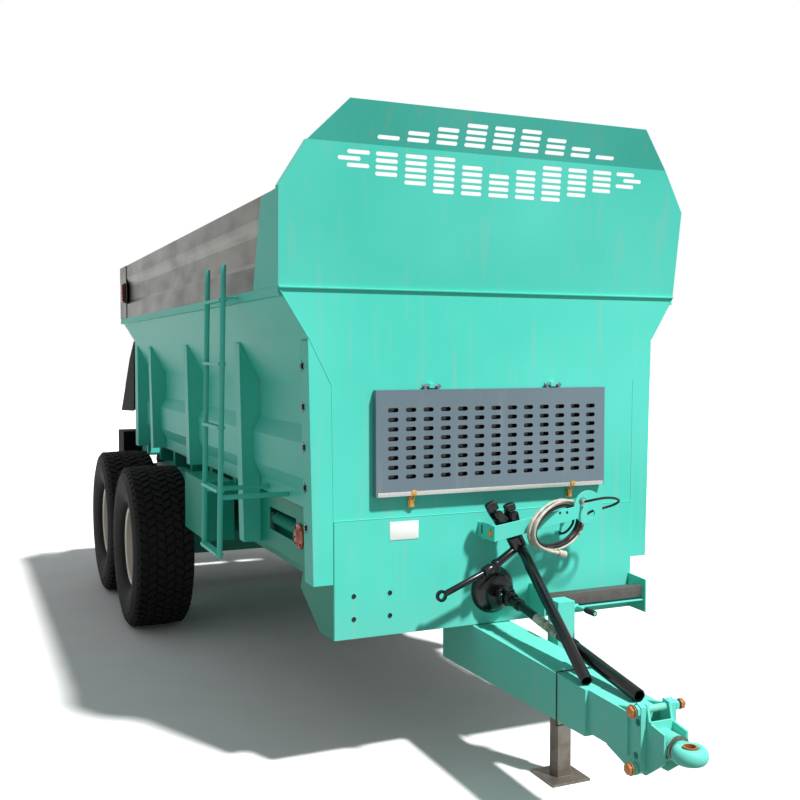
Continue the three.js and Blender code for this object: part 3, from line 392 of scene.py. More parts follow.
def turned(name, profile, sides, place):
    # a profile (radius, along) turned about its own Z axis with the spin operator
    clearSelection()
    bpy.ops.mesh.primitive_circle_add(vertices=len(profile), radius=1)
    made = bpy.context.object
    for vertex, (radius, along) in zip(made.data.vertices, profile):
        vertex.co = (radius, 0, along)
    bpy.ops.object.mode_set(mode="EDIT")
    bpy.ops.mesh.select_all(action="SELECT")
    bpy.ops.mesh.spin(steps=sides, angle=math.tau, center=(0, 0, 0), axis=(0, 0, 1))
    bpy.ops.mesh.select_all(action="SELECT")
    bpy.ops.mesh.remove_doubles(threshold=mergeDistance)
    bpy.ops.mesh.normals_make_consistent(inside=False)
    bpy.ops.object.mode_set(mode="OBJECT")
    made.data.transform(place)
    made.name = name
    return made


def copied(source, place, name=None):
    twin = source.copy()
    twin.data = source.data.copy()
    twin.data.transform(place)
    bpy.context.collection.objects.link(twin)
    if name:
        twin.name = name
    return twin


def joined(name, parts):
    clearSelection()
    for part in parts:
        part.select_set(True)
    bpy.context.view_layer.objects.active = parts[0]
    if len(parts) > 1:
        bpy.ops.object.join()
    parts[0].name = name
    return parts[0]


def repeated(name, source, places):
    # one joined piece of copies of a small shape, which itself is used up
    whole = bmesh.new()
    for place in places:
        one = source.data.copy()
        one.transform(place)
        if place.determinant() < 0:
            one.flip_normals()
        whole.from_mesh(one)
        bpy.data.meshes.remove(one)
    whole.to_mesh(source.data)
    whole.free()
    source.name = name
    return source


def cutAway(obj, cutter):
    cut = obj.modifiers.new("cut", "BOOLEAN")
    cut.operation = "DIFFERENCE"
    cut.solver = "EXACT"
    cut.object = cutter
    clearSelection()
    bpy.context.view_layer.objects.active = obj
    bpy.ops.object.modifier_apply(modifier=cut.name)
    bpy.data.objects.remove(cutter)


# finishes a piece: its paint, its body, its material slot and the solids it stands for
def done(obj, body, paint, replaced=(), smooth=32):
    obj.data.materials.clear()
    obj.data.materials.append(paint)
    selectOnly(obj)
    bpy.ops.object.shade_smooth_by_angle(angle=math.radians(smooth))
    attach(obj, body)
    if replaced:
        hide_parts(*replaced)
    return obj


def at(x, y, z):
    # a point in millimetres from the front wall's face, the centre line and the ground
    return Vector((x / 1000, wallY + y / 1000, z / 1000))


def mm(*values):
    return Vector(values) / 1000


def turn(axis, degrees):
    return Matrix.Rotation(math.radians(degrees), 4, axis)


def move(point):
    return Matrix.Translation(point)


def polar(radius, degrees):
    return radius * math.cos(math.radians(degrees)), radius * math.sin(math.radians(degrees))


def scaled(points):
    return [(a / 1000, b / 1000) for a, b in points]


# plane matrices: the outline's own X, Y and thickness go to these axes
facingFront = Matrix(((1, 0, 0, 0), (0, 0, -1, 0), (0, 1, 0, 0), (0, 0, 0, 1)))  # outline in XZ, towards -Y
acrossX = Matrix(((0, 0, 1, 0), (1, 0, 0, 0), (0, 1, 0, 0), (0, 0, 0, 1)))  # outline in YZ, thickness towards +X
asDrawn = Matrix.Identity(4)

# light cable and brake hose on the bracket
coil = {
    "centre": (262, -164, 1145.05), "wide": 169, "high": 99, "turn": 16, "slope": 8.38,
    "cable": 14, "hose": 12, "cableTurns": 3.5, "hoseTurns": 2.95, "cableStart": 47, "hoseStart": -15,  # degrees
}


def onCoil(angle, out, along):
    # a point of the ring's section: out from the middle line, along the ring's own axis, in millimetres
    a = math.radians(angle)
    along += 4 * math.sin(2 * a + 0.6)  # slack turns that don't lie flat
    out += 2 * math.sin(2 * a)
    local = Vector(((coil["wide"] + out) * math.cos(a), along, (coil["high"] + out) * math.sin(a)))
    local = turn("Z", coil["turn"]) @ turn("Y", -coil["slope"]) @ local
    return at(*(Vector(coil["centre"]) + local))


def smoothPath(points, count):
    # Catmull-Rom through the points, evenly spaced
    line = [points[0] * 2 - points[1], *points, points[-1] * 2 - points[-2]]
    fine = []
    for i in range(1, len(line) - 2):
        p, q, r, s = line[i - 1:i + 3]
        for j in range(16):
            t = j / 16
            bend = (2 * p - 5 * q + 4 * r - s) * t * t + (3 * q - p - 3 * r + s) * t ** 3
            fine.append(0.5 * (2 * q + (r - p) * t + bend))
    fine.append(points[-1])
    run = [0]
    for a, b in zip(fine, fine[1:]):
        run.append(run[-1] + (b - a).length)
    even, k = [], 0
    for i in range(count + 1):
        want = run[-1] * i / count
        while k < len(run) - 2 and run[k + 1] < want:
            k += 1
        share = (want - run[k]) / max(run[k + 1] - run[k], 1e-9)
        even.append(fine[k].lerp(fine[k + 1], share))
    return even


def cordPiece(name, points, diameter, paint, count):
    line = smoothPath(points, count)
    curve = bpy.data.curves.new(name, "CURVE")
    curve.dimensions = "3D"
    spline = curve.splines.new("POLY")
    spline.points.add(len(line) - 1)
    for place, point in zip(spline.points, line):
        place.co = (*point, 1)
    curve.bevel_depth = diameter / 2
    curve.bevel_resolution = 4
    curve.use_fill_caps = True
    curve.materials.append(paint)
    made = bpy.data.objects.new(name, curve)
    bpy.context.collection.objects.link(made)
    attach(made, "chassis")
    length = sum((b - a).length for a, b in zip(line, line[1:]))
    return made, line[0], length


# extruded PVC sheath: even tone, scuffed lighter where it rubs
def sheath(low, high):
    def build(tree, principled, position):
        scuff = noise(tree, position, 0.03, 4)
        tree.links.new(blendColours(tree, scuff, low, high, 0.4, 0.75), principled.inputs["Base Color"])
        spread(tree, principled, scuff, 0.35, 0.6)
        bump(tree, principled, noise(tree, position, 0.002, 2), 0.0002, 0.25)
    return build


pvcSheath = material("pvcSheath", sheath("#a9a496", "#c9c5b8"))


def cableOut(turns):
    # alternate turns lie nearer and further from the middle line
    return 9 - 6 * math.cos(math.pi * turns)


cableRoute = [at(*p) for p in (
    (405, -30.3, 1160), (405.5, -46, 1161), (406, -62, 1166), (405.5, -76, 1176), (402, -87, 1192), (393, -96, 1211))]
steps = int(coil["cableTurns"] * 20)
for i in range(steps + 1):
    turns = coil["cableTurns"] * i / steps
    cableRoute.append(onCoil(coil["cableStart"] + 360 * turns, cableOut(turns), 26 - 15 * turns))
endAngle = coil["cableStart"] + 360 * coil["cableTurns"]
cableRoute += [onCoil(endAngle + 12, 14, -31), onCoil(endAngle + 24, 19, -38)]
lightCable, exitPoint, cableLength = cordPiece(
    "lightCable", cableRoute, coil["cable"] / 1000, pvcSheath, 260)
plugStart = cableRoute[-1]
plugRun = (cableRoute[-1] - cableRoute[-2]).normalized() * 0.055
plug = joined("cablePlug", [
    rod("plugNeck", plugStart - plugRun * 0.2, plugStart + plugRun * 0.3, 0.010, 24, 0.001),
    rod("plugShell", plugStart + plugRun * 0.25, plugStart + plugRun, 0.017, 24, 0.0015),
])
done(plug, "chassis", pvcSheath)
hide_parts("cable_coil", "cable_lead")

hoseRoute = [at(*p) for p in (
    (366, -30.3, 1078), (367, -46, 1079), (370, -62, 1084), (376, -77, 1094), (384, -89, 1109), (393, -97, 1127))]
steps = int(coil["hoseTurns"] * 20)
for i in range(steps + 1):
    turns = coil["hoseTurns"] * i / steps
    hoseOut = -10 - 5 * math.cos(math.pi * turns)
    hoseRoute.append(onCoil(coil["hoseStart"] + 360 * turns, hoseOut, 24 - 15 * turns))
hoseRoute += [at(*p) for p in (
    (416, -146, 1152), (427, -151, 1171), (445, -153, 1187), (470, -153, 1198), (500, -152, 1204), (534, -154, 1210),
    (563, -170, 1220), (577, -202, 1236), (566, -240, 1256), (526, -267, 1273), (474, -267, 1279), (432, -245, 1271),
    (411, -208, 1259), (408, -172, 1251), (408, -146, 1248))]
airHose, exitPoint, hoseLength = cordPiece("airHose", hoseRoute, coil["hose"] / 1000, hoseRubber, 300)
coupling = joined("hoseCoupling", [
    rod("couplingBody", at(408, -150, 1248), at(408, -116, 1246), 0.016, 24, 0.0012),
    rod("couplingCollar", at(408, -186, 1252), at(408, -150, 1248), 0.0105, 24, 0.001),
    rod("couplingFace", at(408, -118, 1246), at(408, -108, 1245.5), 0.012, 6, 0.001),
])
done(coupling, "chassis", zincSteel)
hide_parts("hose_lead", "hose_loop")
print("cords laid:", round(cableLength, 3), round(hoseLength, 3))

# wheels
tyre = {
    "pitches": 56, "rows": (-148, -89, -30, 30, 89, 148), "rowHeight": (571, 573.5, 575, 575, 573.5, 571),
    "block": (52, 47), "slant": 13, "deep": 17,
}
rim = {"nuts": 10, "nutCircle": 140, "holes": 8, "holeCircle": 198, "holeRadius": 22}
wheels = {
    "front_left": (1064.5, 3200, 575), "front_right": (-1064.5, 3200, 575),
    "rear_left": (1064.5, 4450, 575), "rear_right": (-1064.5, 4450, 575),
}
alongX = turn("Y", 90)  # a turned shape's own Z axis becomes the axle

halfTyre = [
    (262.5, 60), (263, 137), (275, 141), (289, 138), (297, 148), (304, 147), (318, 168), (330, 178), (352, 188),
    (392, 200), (430, 206.5), (455, 207), (470, 206), (476, 208), (484, 208), (490, 204), (505, 201), (522, 195),
    (538, 186), (552, 172), (558, 150), (560, 60),
]
tyreBody = turned("tyreCarcass", scaled(halfTyre + [(r, -x) for r, x in reversed(halfTyre)]), 96, asDrawn)
tyreBody.data.transform(alongX)
facesOut(tyreBody)
w, l, s = tyre["block"][0] / 2000, tyre["block"][1] / 2000, tyre["slant"] / 1000
treadOutline = [(-w, -l - s), (w, -l + s), (w, l + s), (-w, l - s)]
treadBlock = plate("treadBlock", treadOutline, tyre["deep"] / 1000, asDrawn)
edges(treadBlock, 0.003, 1)
step = 360 / tyre["pitches"]
places = []
for row, (x, r) in enumerate(zip(tyre["rows"], tyre["rowHeight"])):
    for i in range(tyre["pitches"]):
        lift = move(mm(x, 0, r - tyre["deep"]))
        mirrored = turn("Z", 180) if row % 2 else asDrawn
        side = Matrix.Diagonal((1, -1, 1, 1)) if row % 2 else asDrawn
        places.append(turn("X", (i + 0.5 * (row % 2)) * step) @ lift @ mirrored @ side)
tread = repeated("tyreTread", treadBlock, places)
shoulderBlock = block("shoulderBlock", mm(-17, -23, -12), mm(17, 23, 4), 0)
edges(shoulderBlock, 0.003, 1)
places = []
for side in (-1, 1):
    for i in range(tyre["pitches"]):
        places.append(turn("X", (i + 0.25) * step) @ move(mm(side * 183, 0, 551)) @ turn("Y", side * 52))
shoulders = repeated("tyreShoulders", shoulderBlock, places)
tyreShape = joined("tyreShape", [tyreBody, tread, shoulders])

rimRing = turned("rimRing", scaled([
    (286, 149), (284, 144), (270, 141), (262, 139), (261, 100), (240, 80), (240, -60), (261, -90), (262, -139),
    (270, -141), (284, -144), (286, -149), (281, -152), (268, -149), (256, -144), (253, -92), (232, -62), (232, 78),
    (253, 102), (255, 144), (268, 149), (281, 152)]), 72, alongX)
rimDish = turned("rimDish", scaled([
    (234, -34), (234, -22), (222, -15), (204, -10), (172, -11), (156, -18), (108, -18), (108, -30), (156, -30),
    (172, -23), (202, -22), (218, -27)]), 72, alongX)
facesOut(rimDish)
holeTool = joined("holeTool", [
    rod("holeTool", turn("X", i * 360 / rim["holes"]) @ mm(-60, 0, rim["holeCircle"]),
        turn("X", i * 360 / rim["holes"]) @ mm(20, 0, rim["holeCircle"]), rim["holeRadius"] / 1000, 20)
    for i in range(rim["holes"])])
cutAway(rimDish, holeTool)
edges(rimDish, 0.0015)
edges(rimRing, 0.0012)
rimShape = joined("rimShape", [rimRing, rimDish])
hubShape = turned("hubShape", scaled([
    (0, 80), (42, 80), (48, 77), (51, 70), (51, 28), (62, 26), (66, 18), (66, 2), (112, 0), (112, -30), (72, -34),
    (72, -60), (0, -60)]), 48, alongX)
drumShape = turned("drumShape", scaled([
    (205, -150), (205, -58), (198, -46), (180, -40), (70, -40), (70, -50), (176, -52), (194, -68),
    (194, -150)]), 60, alongX)
r = rim["nutCircle"]
nut = rod("wheelNut", mm(-19, 0, r), mm(4, 0, r), 0.0165, 6, 0.0015)
stud = rod("wheelStud", mm(0, 0, r), mm(14, 0, r), 0.0095, 14, 0.0012)
washer = rod("nutWasher", mm(-20, 0, r), mm(-13, 0, r), 0.021, 18, 0.001)
capBolt = rod("capBolt", mm(28, 0, 57), mm(33, 0, 57), 0.006, 6)
nutShape = repeated("nutShape", joined("wheelNut", [nut, stud, washer]),
                    [turn("X", i * 360 / rim["nuts"]) for i in range(rim["nuts"])])
boltShape = repeated("boltShape", capBolt, [turn("X", 60 * i) for i in range(6)])
hubShape = joined("hubShape", [hubShape, boltShape])
for which, centre in wheels.items():
    wheelName = "wheel_" + which
    place = move(at(*centre)) @ (turn("Z", 180) if centre[0] < 0 else asDrawn) @ turn("X", 7 * len(which))
    done(copied(tyreShape, place, "tyre_" + which + "_look"), wheelName, tyreRubber, ["tyre_" + which])
    done(copied(rimShape, place, "rim_" + which + "_look"), wheelName, creamEnamel, ["rim_" + which])
    done(copied(hubShape, place, "hub_" + which), wheelName, blackEnamel)
    done(copied(drumShape, place, "drum_" + which), wheelName, blackEnamel)
    done(copied(nutShape, place, "nuts_" + which), wheelName, wornSteel, smooth=25)
for used in (tyreShape, rimShape, hubShape, drumShape, nutShape):
    bpy.data.objects.remove(used)
print("wheels made")

# drive shaft and the two stowed half shafts
shaftSizes = {"cross": (0, -148, 828), "end": (10, -1150, 657), "tube": 0.021, "outer": 0.0275, "tape": 0.0222}
shield = {"z": 828, "plate": 0.1145, "bearing": 0.052, "boltCircle": 92}


def yoke(name, centre, away, across, reach, collar, ear=0.034, cup=0.012):
    # forged fork: a collar on the shaft and two ears that hold the cross; away points from the cross to the shaft
    away, across = Vector(away).normalized(), Vector(across).normalized()
    third = away.cross(across)
    frameOf = Matrix((across, third, away)).transposed().to_4x4()
    place = move(centre) @ frameOf
    low, high = place @ Vector((0, 0, reach * 0.62)), place @ Vector((0, 0, reach * 1.25))
    parts = [rod(name + "Collar", low, high, collar, 28, 0.003)]
    bridge = block(name + "Bridge", (-ear, -collar * 0.72, reach * 0.5), (ear, collar * 0.72, reach * 0.78), 0.006)
    bridge.data.transform(place)
    parts.append(bridge)
    for side in (-1, 1):
        outline = [polar(ear * 0.56, a) for a in range(180, 361, 15)]
        outline += [(ear * 0.6, reach * 0.72), (-ear * 0.6, reach * 0.72)]
        lug = plate(name + "Ear", outline, 0.011, asDrawn, 0.002)
        # the outline's Y runs along the shaft, its thickness across it
        lug.data.transform(move((side * ear - 0.0055, 0, 0)) @ acrossX)
        lug.data.transform(place)
        facesOut(lug)
        parts.append(lug)
        inner, outer = (place @ Vector((side * (ear + d), 0, 0)) for d in (-0.009, 0.009))
        parts.append(rod(name + "Cup", inner, outer, cup, 20, 0.0015))
    return joined(name, parts)


def hexTube(name, start, end, radius, wall=0.0035):
    # open end of a ribbed profile tube: six corners, hollow
    start, end = Vector(start), Vector(end)
    along = end - start
    place = move(start) @ along.to_track_quat("Z", "Y").to_matrix().to_4x4()
    outline = []
    for i in range(6):
        for a in (-12, 12):
            outline.append(polar(radius, 60 * i + a))
    tube = plate(name, outline, along.length, place, 0.0012)
    inner = [(x * (1 - wall / radius * 1.6), y * (1 - wall / radius * 1.6)) for x, y in outline]
    hollow = plate(name + "Hollow", inner, 0.16, place @ move((0, 0, along.length - 0.155)))
    cutAway(tube, hollow)
    return tube


crossAt, shaftEnd = at(*shaftSizes["cross"]), at(*shaftSizes["end"])
shaftLine = (shaftEnd - crossAt).normalized()
sideways = Vector((1, 0, 0))
upwards = sideways.cross(shaftLine).normalized()
parts = [
    yoke("stubYoke", crossAt, (0, 1, 0), (1, 0, 0), 0.042, 0.032),
    yoke("shaftYoke", crossAt, shaftLine, upwards, 0.046, 0.033),
    rod("crossAcross", crossAt - sideways * 0.03, crossAt + sideways * 0.03, 0.010, 16),
    rod("crossUp", crossAt - upwards * 0.03, crossAt + upwards * 0.03, 0.010, 16),
    rod("stub", at(0, -62, shield["z"]), at(0, -104, shield["z"]), 0.022, 24),
    rod("innerTube", crossAt + shaftLine * 0.05, crossAt + shaftLine * 0.62, shaftSizes["tube"], 28),
    rod("tubeCollar", crossAt + shaftLine * 0.098, crossAt + shaftLine * 0.125, 0.029, 28, 0.002),
    hexTube("outerTube", crossAt + shaftLine * 0.56, shaftEnd, shaftSizes["outer"]),
    rod("outerCollar", crossAt + shaftLine * 0.545, crossAt + shaftLine * 0.575, 0.0305, 28, 0.002),
]
done(joined("driveShaft", parts), "chassis", blackEnamel, ["drive_shaft"])
alongShaft = move(crossAt + shaftLine * 0.27) @ shaftLine.to_track_quat("Z", "Y").to_matrix().to_4x4()
tape = plate("tapeWrap", [polar(shaftSizes["tape"], a) for a in range(0, 360, 15)], 0.19, alongShaft, 0.0004)
done(tape, "chassis", paleTape)

z = shield["z"]
cupOutline = [(24, 0), (66, 0), (84, 8), (104, 36), (115, 66), (111, 66), (100, 38), (81, 12), (66, 5), (24, 5)]
shieldParts = [
    turned("shieldCup", scaled(cupOutline), 56, move(at(0, -66, z)) @ turn("X", -90)),
    rod("shieldPlate", at(0, -6.3, z), at(0, -12, z), shield["plate"], 56, 0.001),
    rod("shieldBearing", at(0, -10, z), at(0, -60, z), shield["bearing"], 36, 0.004),
]
for a in range(30, 390, 60):
    dx, dz = polar(shield["boltCircle"], a)
    shieldParts.append(rod("shieldBolt", at(dx, -11, z + dz), at(dx, -20, z + dz), 0.009, 6, 0.001))
done(joined("driveShield", shieldParts), "chassis", blackEnamel, ["drive_shield"])

stowedParts = [
    hexTube("longTube", at(86, -122, 1054), at(-80, -930, 662), 0.026),
    rod("longSleeve", at(86, -118, 1040), at(52, -118, 1104), 0.039, 28, 0.003),
    yoke("longYoke", at(-46, -118, 1216), at(56, -118, 1092) - at(-46, -118, 1216), (0, 1, 0), 0.05, 0.033),
    rod("longNeck", at(52, -118, 1100), at(-14, -118, 1176), 0.027, 24),
    rod("longEndTube", at(-58, -118, 1232), at(-74, -118, 1264), 0.030, 24, 0.003),
    yoke("shortYoke", at(40, -116, 1212), at(62, -116, 1092) - at(40, -116, 1212), (0, 1, 0.1), 0.05, 0.030),
    rod("shortNeck", at(62, -116, 1080), at(45, -116, 1172), 0.026, 24),
    rod("shortEndTube", at(36, -116, 1226), at(26, -116, 1254), 0.029, 24, 0.003),
    rod("shortTube", at(62, -119, 1040), at(-84, -119.5, 946), 0.0195, 24, 0.001),
    rod("shortCollar", at(-66, -119.5, 957), at(-104, -119.5, 936), 0.0275, 24, 0.003),
    rod("shortTubeCollar", at(-34, -119.5, 979), at(-50, -119.5, 968), 0.0255, 24, 0.002),
    rod("shortRod", at(-84, -119.5, 948), at(-312, -119.5, 857), 0.0145, 24, 0.001),
]
ringPlace = move(at(-328, -119.5, 850)) @ turn("X", 90)
stowedParts.append(turned("ringEnd", scaled([(15, -9), (25, -9), (28, -5), (28, 5), (25, 9), (15, 9)]), 32, ringPlace))
done(joined("stowedShafts", stowedParts), "chassis", blackEnamel, ["stowed_shafts"])
print("shafts made")

# hitch pins, ring and jack
hitch = {"upper": (-1262, 650), "lower": (-1252, 432), "pin": 14, "head": 22, "ring": (-1457, 543), "crank": (269, 790)}
for which in ("upper", "lower"):
    y, z = hitch[which]
    pin = joined(which + "HitchPin", [
        rod("pinShank", at(-99, y, z), at(99, y, z), hitch["pin"] / 1000 - 0.0004, 24),
        rod("pinHead", at(-120, y, z), at(-105.5, y, z), hitch["head"] / 1000, 6, 0.002),
        rod("pinWasher", at(-108, y, z), at(-104.5, y, z), 0.026, 24, 0.001),
        rod("pinNut", at(105.5, y, z), at(122, y, z), hitch["head"] / 1000, 6, 0.002),
        rod("pinThread", at(104, y, z), at(130, y, z), 0.0125, 20, 0.001),
    ])
    done(pin, "chassis", rustyPin)
ringY, ringZ = hitch["ring"]
ringSection = [(43 + polar(23, a)[0], polar(30, a)[1]) for a in range(0, 360, 15)]
eye = joined("hitchEyeLook", [
    turned("eyeRing", scaled(ringSection), 64, move(at(0, ringY, ringZ))),
    rod("eyeNeck", at(0, ringY + 35, ringZ), at(0, ringY + 61, ringZ), 0.037, 40, 0.003, 0.0305),
    rod("eyeShank", at(0, ringY + 57, ringZ), at(0, ringY + 160, ringZ), 0.0304, 40),
])
done(eye, "hitch_ring", greenEnamel, ["hitch_eye"], 40)
bushOutline = [(20.4, -31), (26, -31), (26, -30), (27, 0), (26, 30), (26, 31), (20.4, 31)]
bush = turned("ringBush", scaled(bushOutline), 36, move(at(0, ringY, ringZ)))
done(bush, "hitch_ring", rustyPin)
washerPlace = move(at(0, ringY + 63, ringZ)) @ turn("X", 90)
ringWasher = turned("ringWasher", scaled([(36, 0), (47, 0), (47, 8), (36, 8)]), 36, washerPlace)
done(ringWasher, "chassis", wornSteel)
x, z = hitch["crank"]
crankGrip = joined("crankGrip", [
    rod("crankHandle", at(x, -412, z), at(x, -480, z), 0.0135, 24, 0.004),
    rod("crankFerrule", at(x, -404, z), at(x, -413, z), 0.0115, 20, 0.001),
])
done(crankGrip, "chassis", hoseRubber)
print("hitch made")

# fittings on the front wall
front = {
    "latches": (-432, 432), "latchTop": 1310, "blank": (-539, -393, 1104, 1189),
    "boltTop": 1910, "boltStep": 184.5, "boltCount": 5, "boltY": 88,
    "grille": (612, 1318, 1790), "hooks": (-330, 330), "hookZ": 1816,
}


def toggleLatch(x, top):
    # over-centre latch: base, lever, wire loop and hook on the lid
    base = block("latchBase", at(x - 15, -10, top - 58), at(x + 15, -6, top - 8), 0.002)
    lever = block("latchLever", at(x - 11, -19, top - 56), at(x + 11, -12, top - 20), 0.003)
    hinge = rod("latchPin", at(x - 15, -13, top - 22), at(x + 15, -13, top - 22), 0.005, 14)
    loops = [rod("latchLoop", at(x + dx, -15, top - 22), at(x + dx, -41.5, top + 8), 0.0028, 10) for dx in (-9, 9)]
    hook = block("latchHook", at(x - 12, -47, top + 2), at(x + 12, -39.5, top + 26), 0.002)
    bolts = [rod("latchRivet", at(x + dx, -10, top - 50), at(x + dx, -13, top - 50), 0.0035, 10) for dx in (-13, 13)]
    return [base, lever, hinge, *bolts], [*loops, hook]


for side, x, hookX in zip(("right", "left"), front["latches"], front["hooks"]):
    fixedParts, lidParts = toggleLatch(x, front["latchTop"])
    done(joined("latch_" + side, fixedParts), "chassis", brassZinc)
    done(joined("latchCatch_" + side, lidParts), "grille", brassZinc)
    z = front["hookZ"]
    barrel = joined("lidHinge_" + side, [
        rod("hingeBarrel", at(hookX - 46, -14, z), at(hookX - 15, -14, z), 0.0075, 18, 0.001),
        rod("hingeBarrel", at(hookX + 15, -14, z), at(hookX + 46, -14, z), 0.0075, 18, 0.001),
    ])
    done(barrel, "grille", greyEnamel)

half, low, high = front["grille"]
# a black sheet behind the lid's grille: painted shade of the hopper seen through the grille's holes
lidShadeOutline = scaled([(-half, low), (half, low), (half, high), (-half, high)])
lidShade = plate("lidShadeSheet", lidShadeOutline, 0.0015, move((0, wallY - 0.012, 0)) @ facingFront)
done(lidShade, "grille", blackEnamel)
lidLip = block("lidLip", at(-half, -42.2, low - 7), at(half, -39.9, low + 13), 0.0006)
done(lidLip, "grille", zincSteel)

x0, x1, z0, z1 = front["blank"]
blank = block("blankPlate", at(x0, -8.2, z0), at(x1, -6.1, z1), 0.0008)
rivets = [rod("plateRivet", at(x, -8, z), at(x, -10, z), 0.003, 12, 0.0008)
          for x in (x0 + 9, x1 - 9) for z in (z0 + 9, z1 - 9)]
done(joined("blankPlate", [blank, *rivets]), "chassis", platePaint)

# the tube bracket: a hex bolt on its washer; its slot and two holes are thin black marks, painted shade of the holes
bracketBolts = [
    rod("bracketBolt", at(-78, -131, 1124), at(-88, -131, 1124), 0.012, 6, 0.0015),
    rod("bracketWasher", at(-78, -131, 1124), at(-80.5, -131, 1124), 0.019, 24, 0.0006),
]
done(joined("bracketBolts", bracketBolts), "chassis", brassZinc)
# black marks laid on the faces: painted shade inside the slot and the arm's two holes
holeShadeMarks = [block("bracketSlotShade", at(-79, -51, 1112), at(-77.8, -39, 1152), 0.0)]
holeShadeMarks += [rod("armHoleShade", at(x, -168.2, 1204), at(x, -167, 1204), 0.007, 18) for x in (279, 319)]
done(joined("bracketHoleShades", holeShadeMarks), "chassis", hoseRubber)

# four black discs on the apron: painted shade of four holes in the panel
apronHoleShadeDiscs = [rod("apronHoleShade", at(x, -6.1, z), at(x, -8.5, z), 0.011, 20, 0.001) for x in (-717, -538) for z in (755, 861)]
done(joined("apronHoleShades", apronHoleShadeDiscs), "chassis", blackEnamel)

for side, name in ((-1, "right"), (1, "left")):
    starBolts = []
    y = front["boltY"]
    for i in range(front["boltCount"]):
        z = front["boltTop"] - front["boltStep"] * i
        face = 908 + (z - 920) * 22 / 1125  # the flange leans out towards the top
        starBolts.append(rod("flangeBolt", at(side * face, y, z), at(side * (face + 9), y, z), 0.012, 6, 0.001))
        outline = [polar(0.013 if k % 2 else 0.029, 36 * k) for k in range(10)]
        place = move(at(side * face, y, z)) @ turn("Y", 90 * side) @ turn("Z", 90)
        starBolts.append(plate("starWasher", outline, 0.0016, place))
    done(joined("flangeBolts_" + name, starBolts), "chassis", blackEnamel, smooth=20)

seams = []
for side in (-1, 1):
    seams.append(rod("edgeSeam", at(side * 1062, -1.2, 2253), at(side * 931, -1.2, 2043), 0.0028, 8))
    line = [(928, 2043), (819, 1825), (812, 1214)]
    for (xa, za), (xb, zb) in zip(line, line[1:]):
        seams.append(rod("wallSeam", at(side * xa, 0.6, za), at(side * xb, 0.6, zb), 0.0026, 8))
seams.append(rod("apronSeam", at(-811, -5.2, 1208.5), at(811, -5.2, 1208.5), 0.0022, 8))
done(joined("frontSeams", seams), "chassis", greenEnamel)
brimLip = block("brimLip", at(-1064, -11, 2253.5), at(1064, 1, 2262.5), 0.0025)
done(brimLip, "chassis", greenEnamel)

stepStrip = block("stepTread", at(214, -131.6, 741.6), at(790, -74.5, 798.8), 0.003)
done(stepStrip, "chassis", weatheredStrip)

tie = []
corners = [(-107, 424), (-107, 650), (107, 650), (107, 424)]
for (xa, za), (xb, zb) in zip(corners, corners[1:] + corners[:1]):
    tie.append(rod("tieRun", at(xa, -752, za), at(xb, -752, zb), 0.0028, 10))
tie.append(block("tieHead", at(60, -757, 648), at(70, -747, 656), 0.001))
done(joined("drawbarTie", tie), "chassis", hoseRubber)
print("front fittings made")

# chain tensioners
tension = {"x": 776, "z": 1080, "from": 572, "to": 952, "coil": 29, "wire": 5.5, "turns": 23, "inner": 752.5}
bearing = {"face": 812.3, "y": 480, "z": 1064, "screwCircle": 54}


def helix(name, start, axisTurn, radius, wire, turns, length):
    # round wire wound with the Screw modifier
    clearSelection()
    bpy.ops.mesh.primitive_circle_add(
        vertices=10, radius=wire, location=(radius, 0, 0), rotation=(math.radians(90), 0, 0))
    made = settle(bpy.context.object, name)
    wound = made.modifiers.new("wound", "SCREW")
    wound.axis = "Z"
    wound.screw_offset = length / turns
    wound.iterations = turns
    wound.steps = wound.render_steps = 20
    wound.use_normal_calculate = True
    bpy.ops.object.modifier_apply(modifier=wound.name)
    bpy.ops.object.mode_set(mode="EDIT")
    bpy.ops.mesh.select_all(action="SELECT")
    bpy.ops.mesh.fill_holes(sides=12)
    bpy.ops.mesh.select_all(action="SELECT")
    bpy.ops.mesh.normals_make_consistent(inside=False)
    bpy.ops.object.mode_set(mode="OBJECT")
    made.data.transform(move(start) @ axisTurn)
    return made


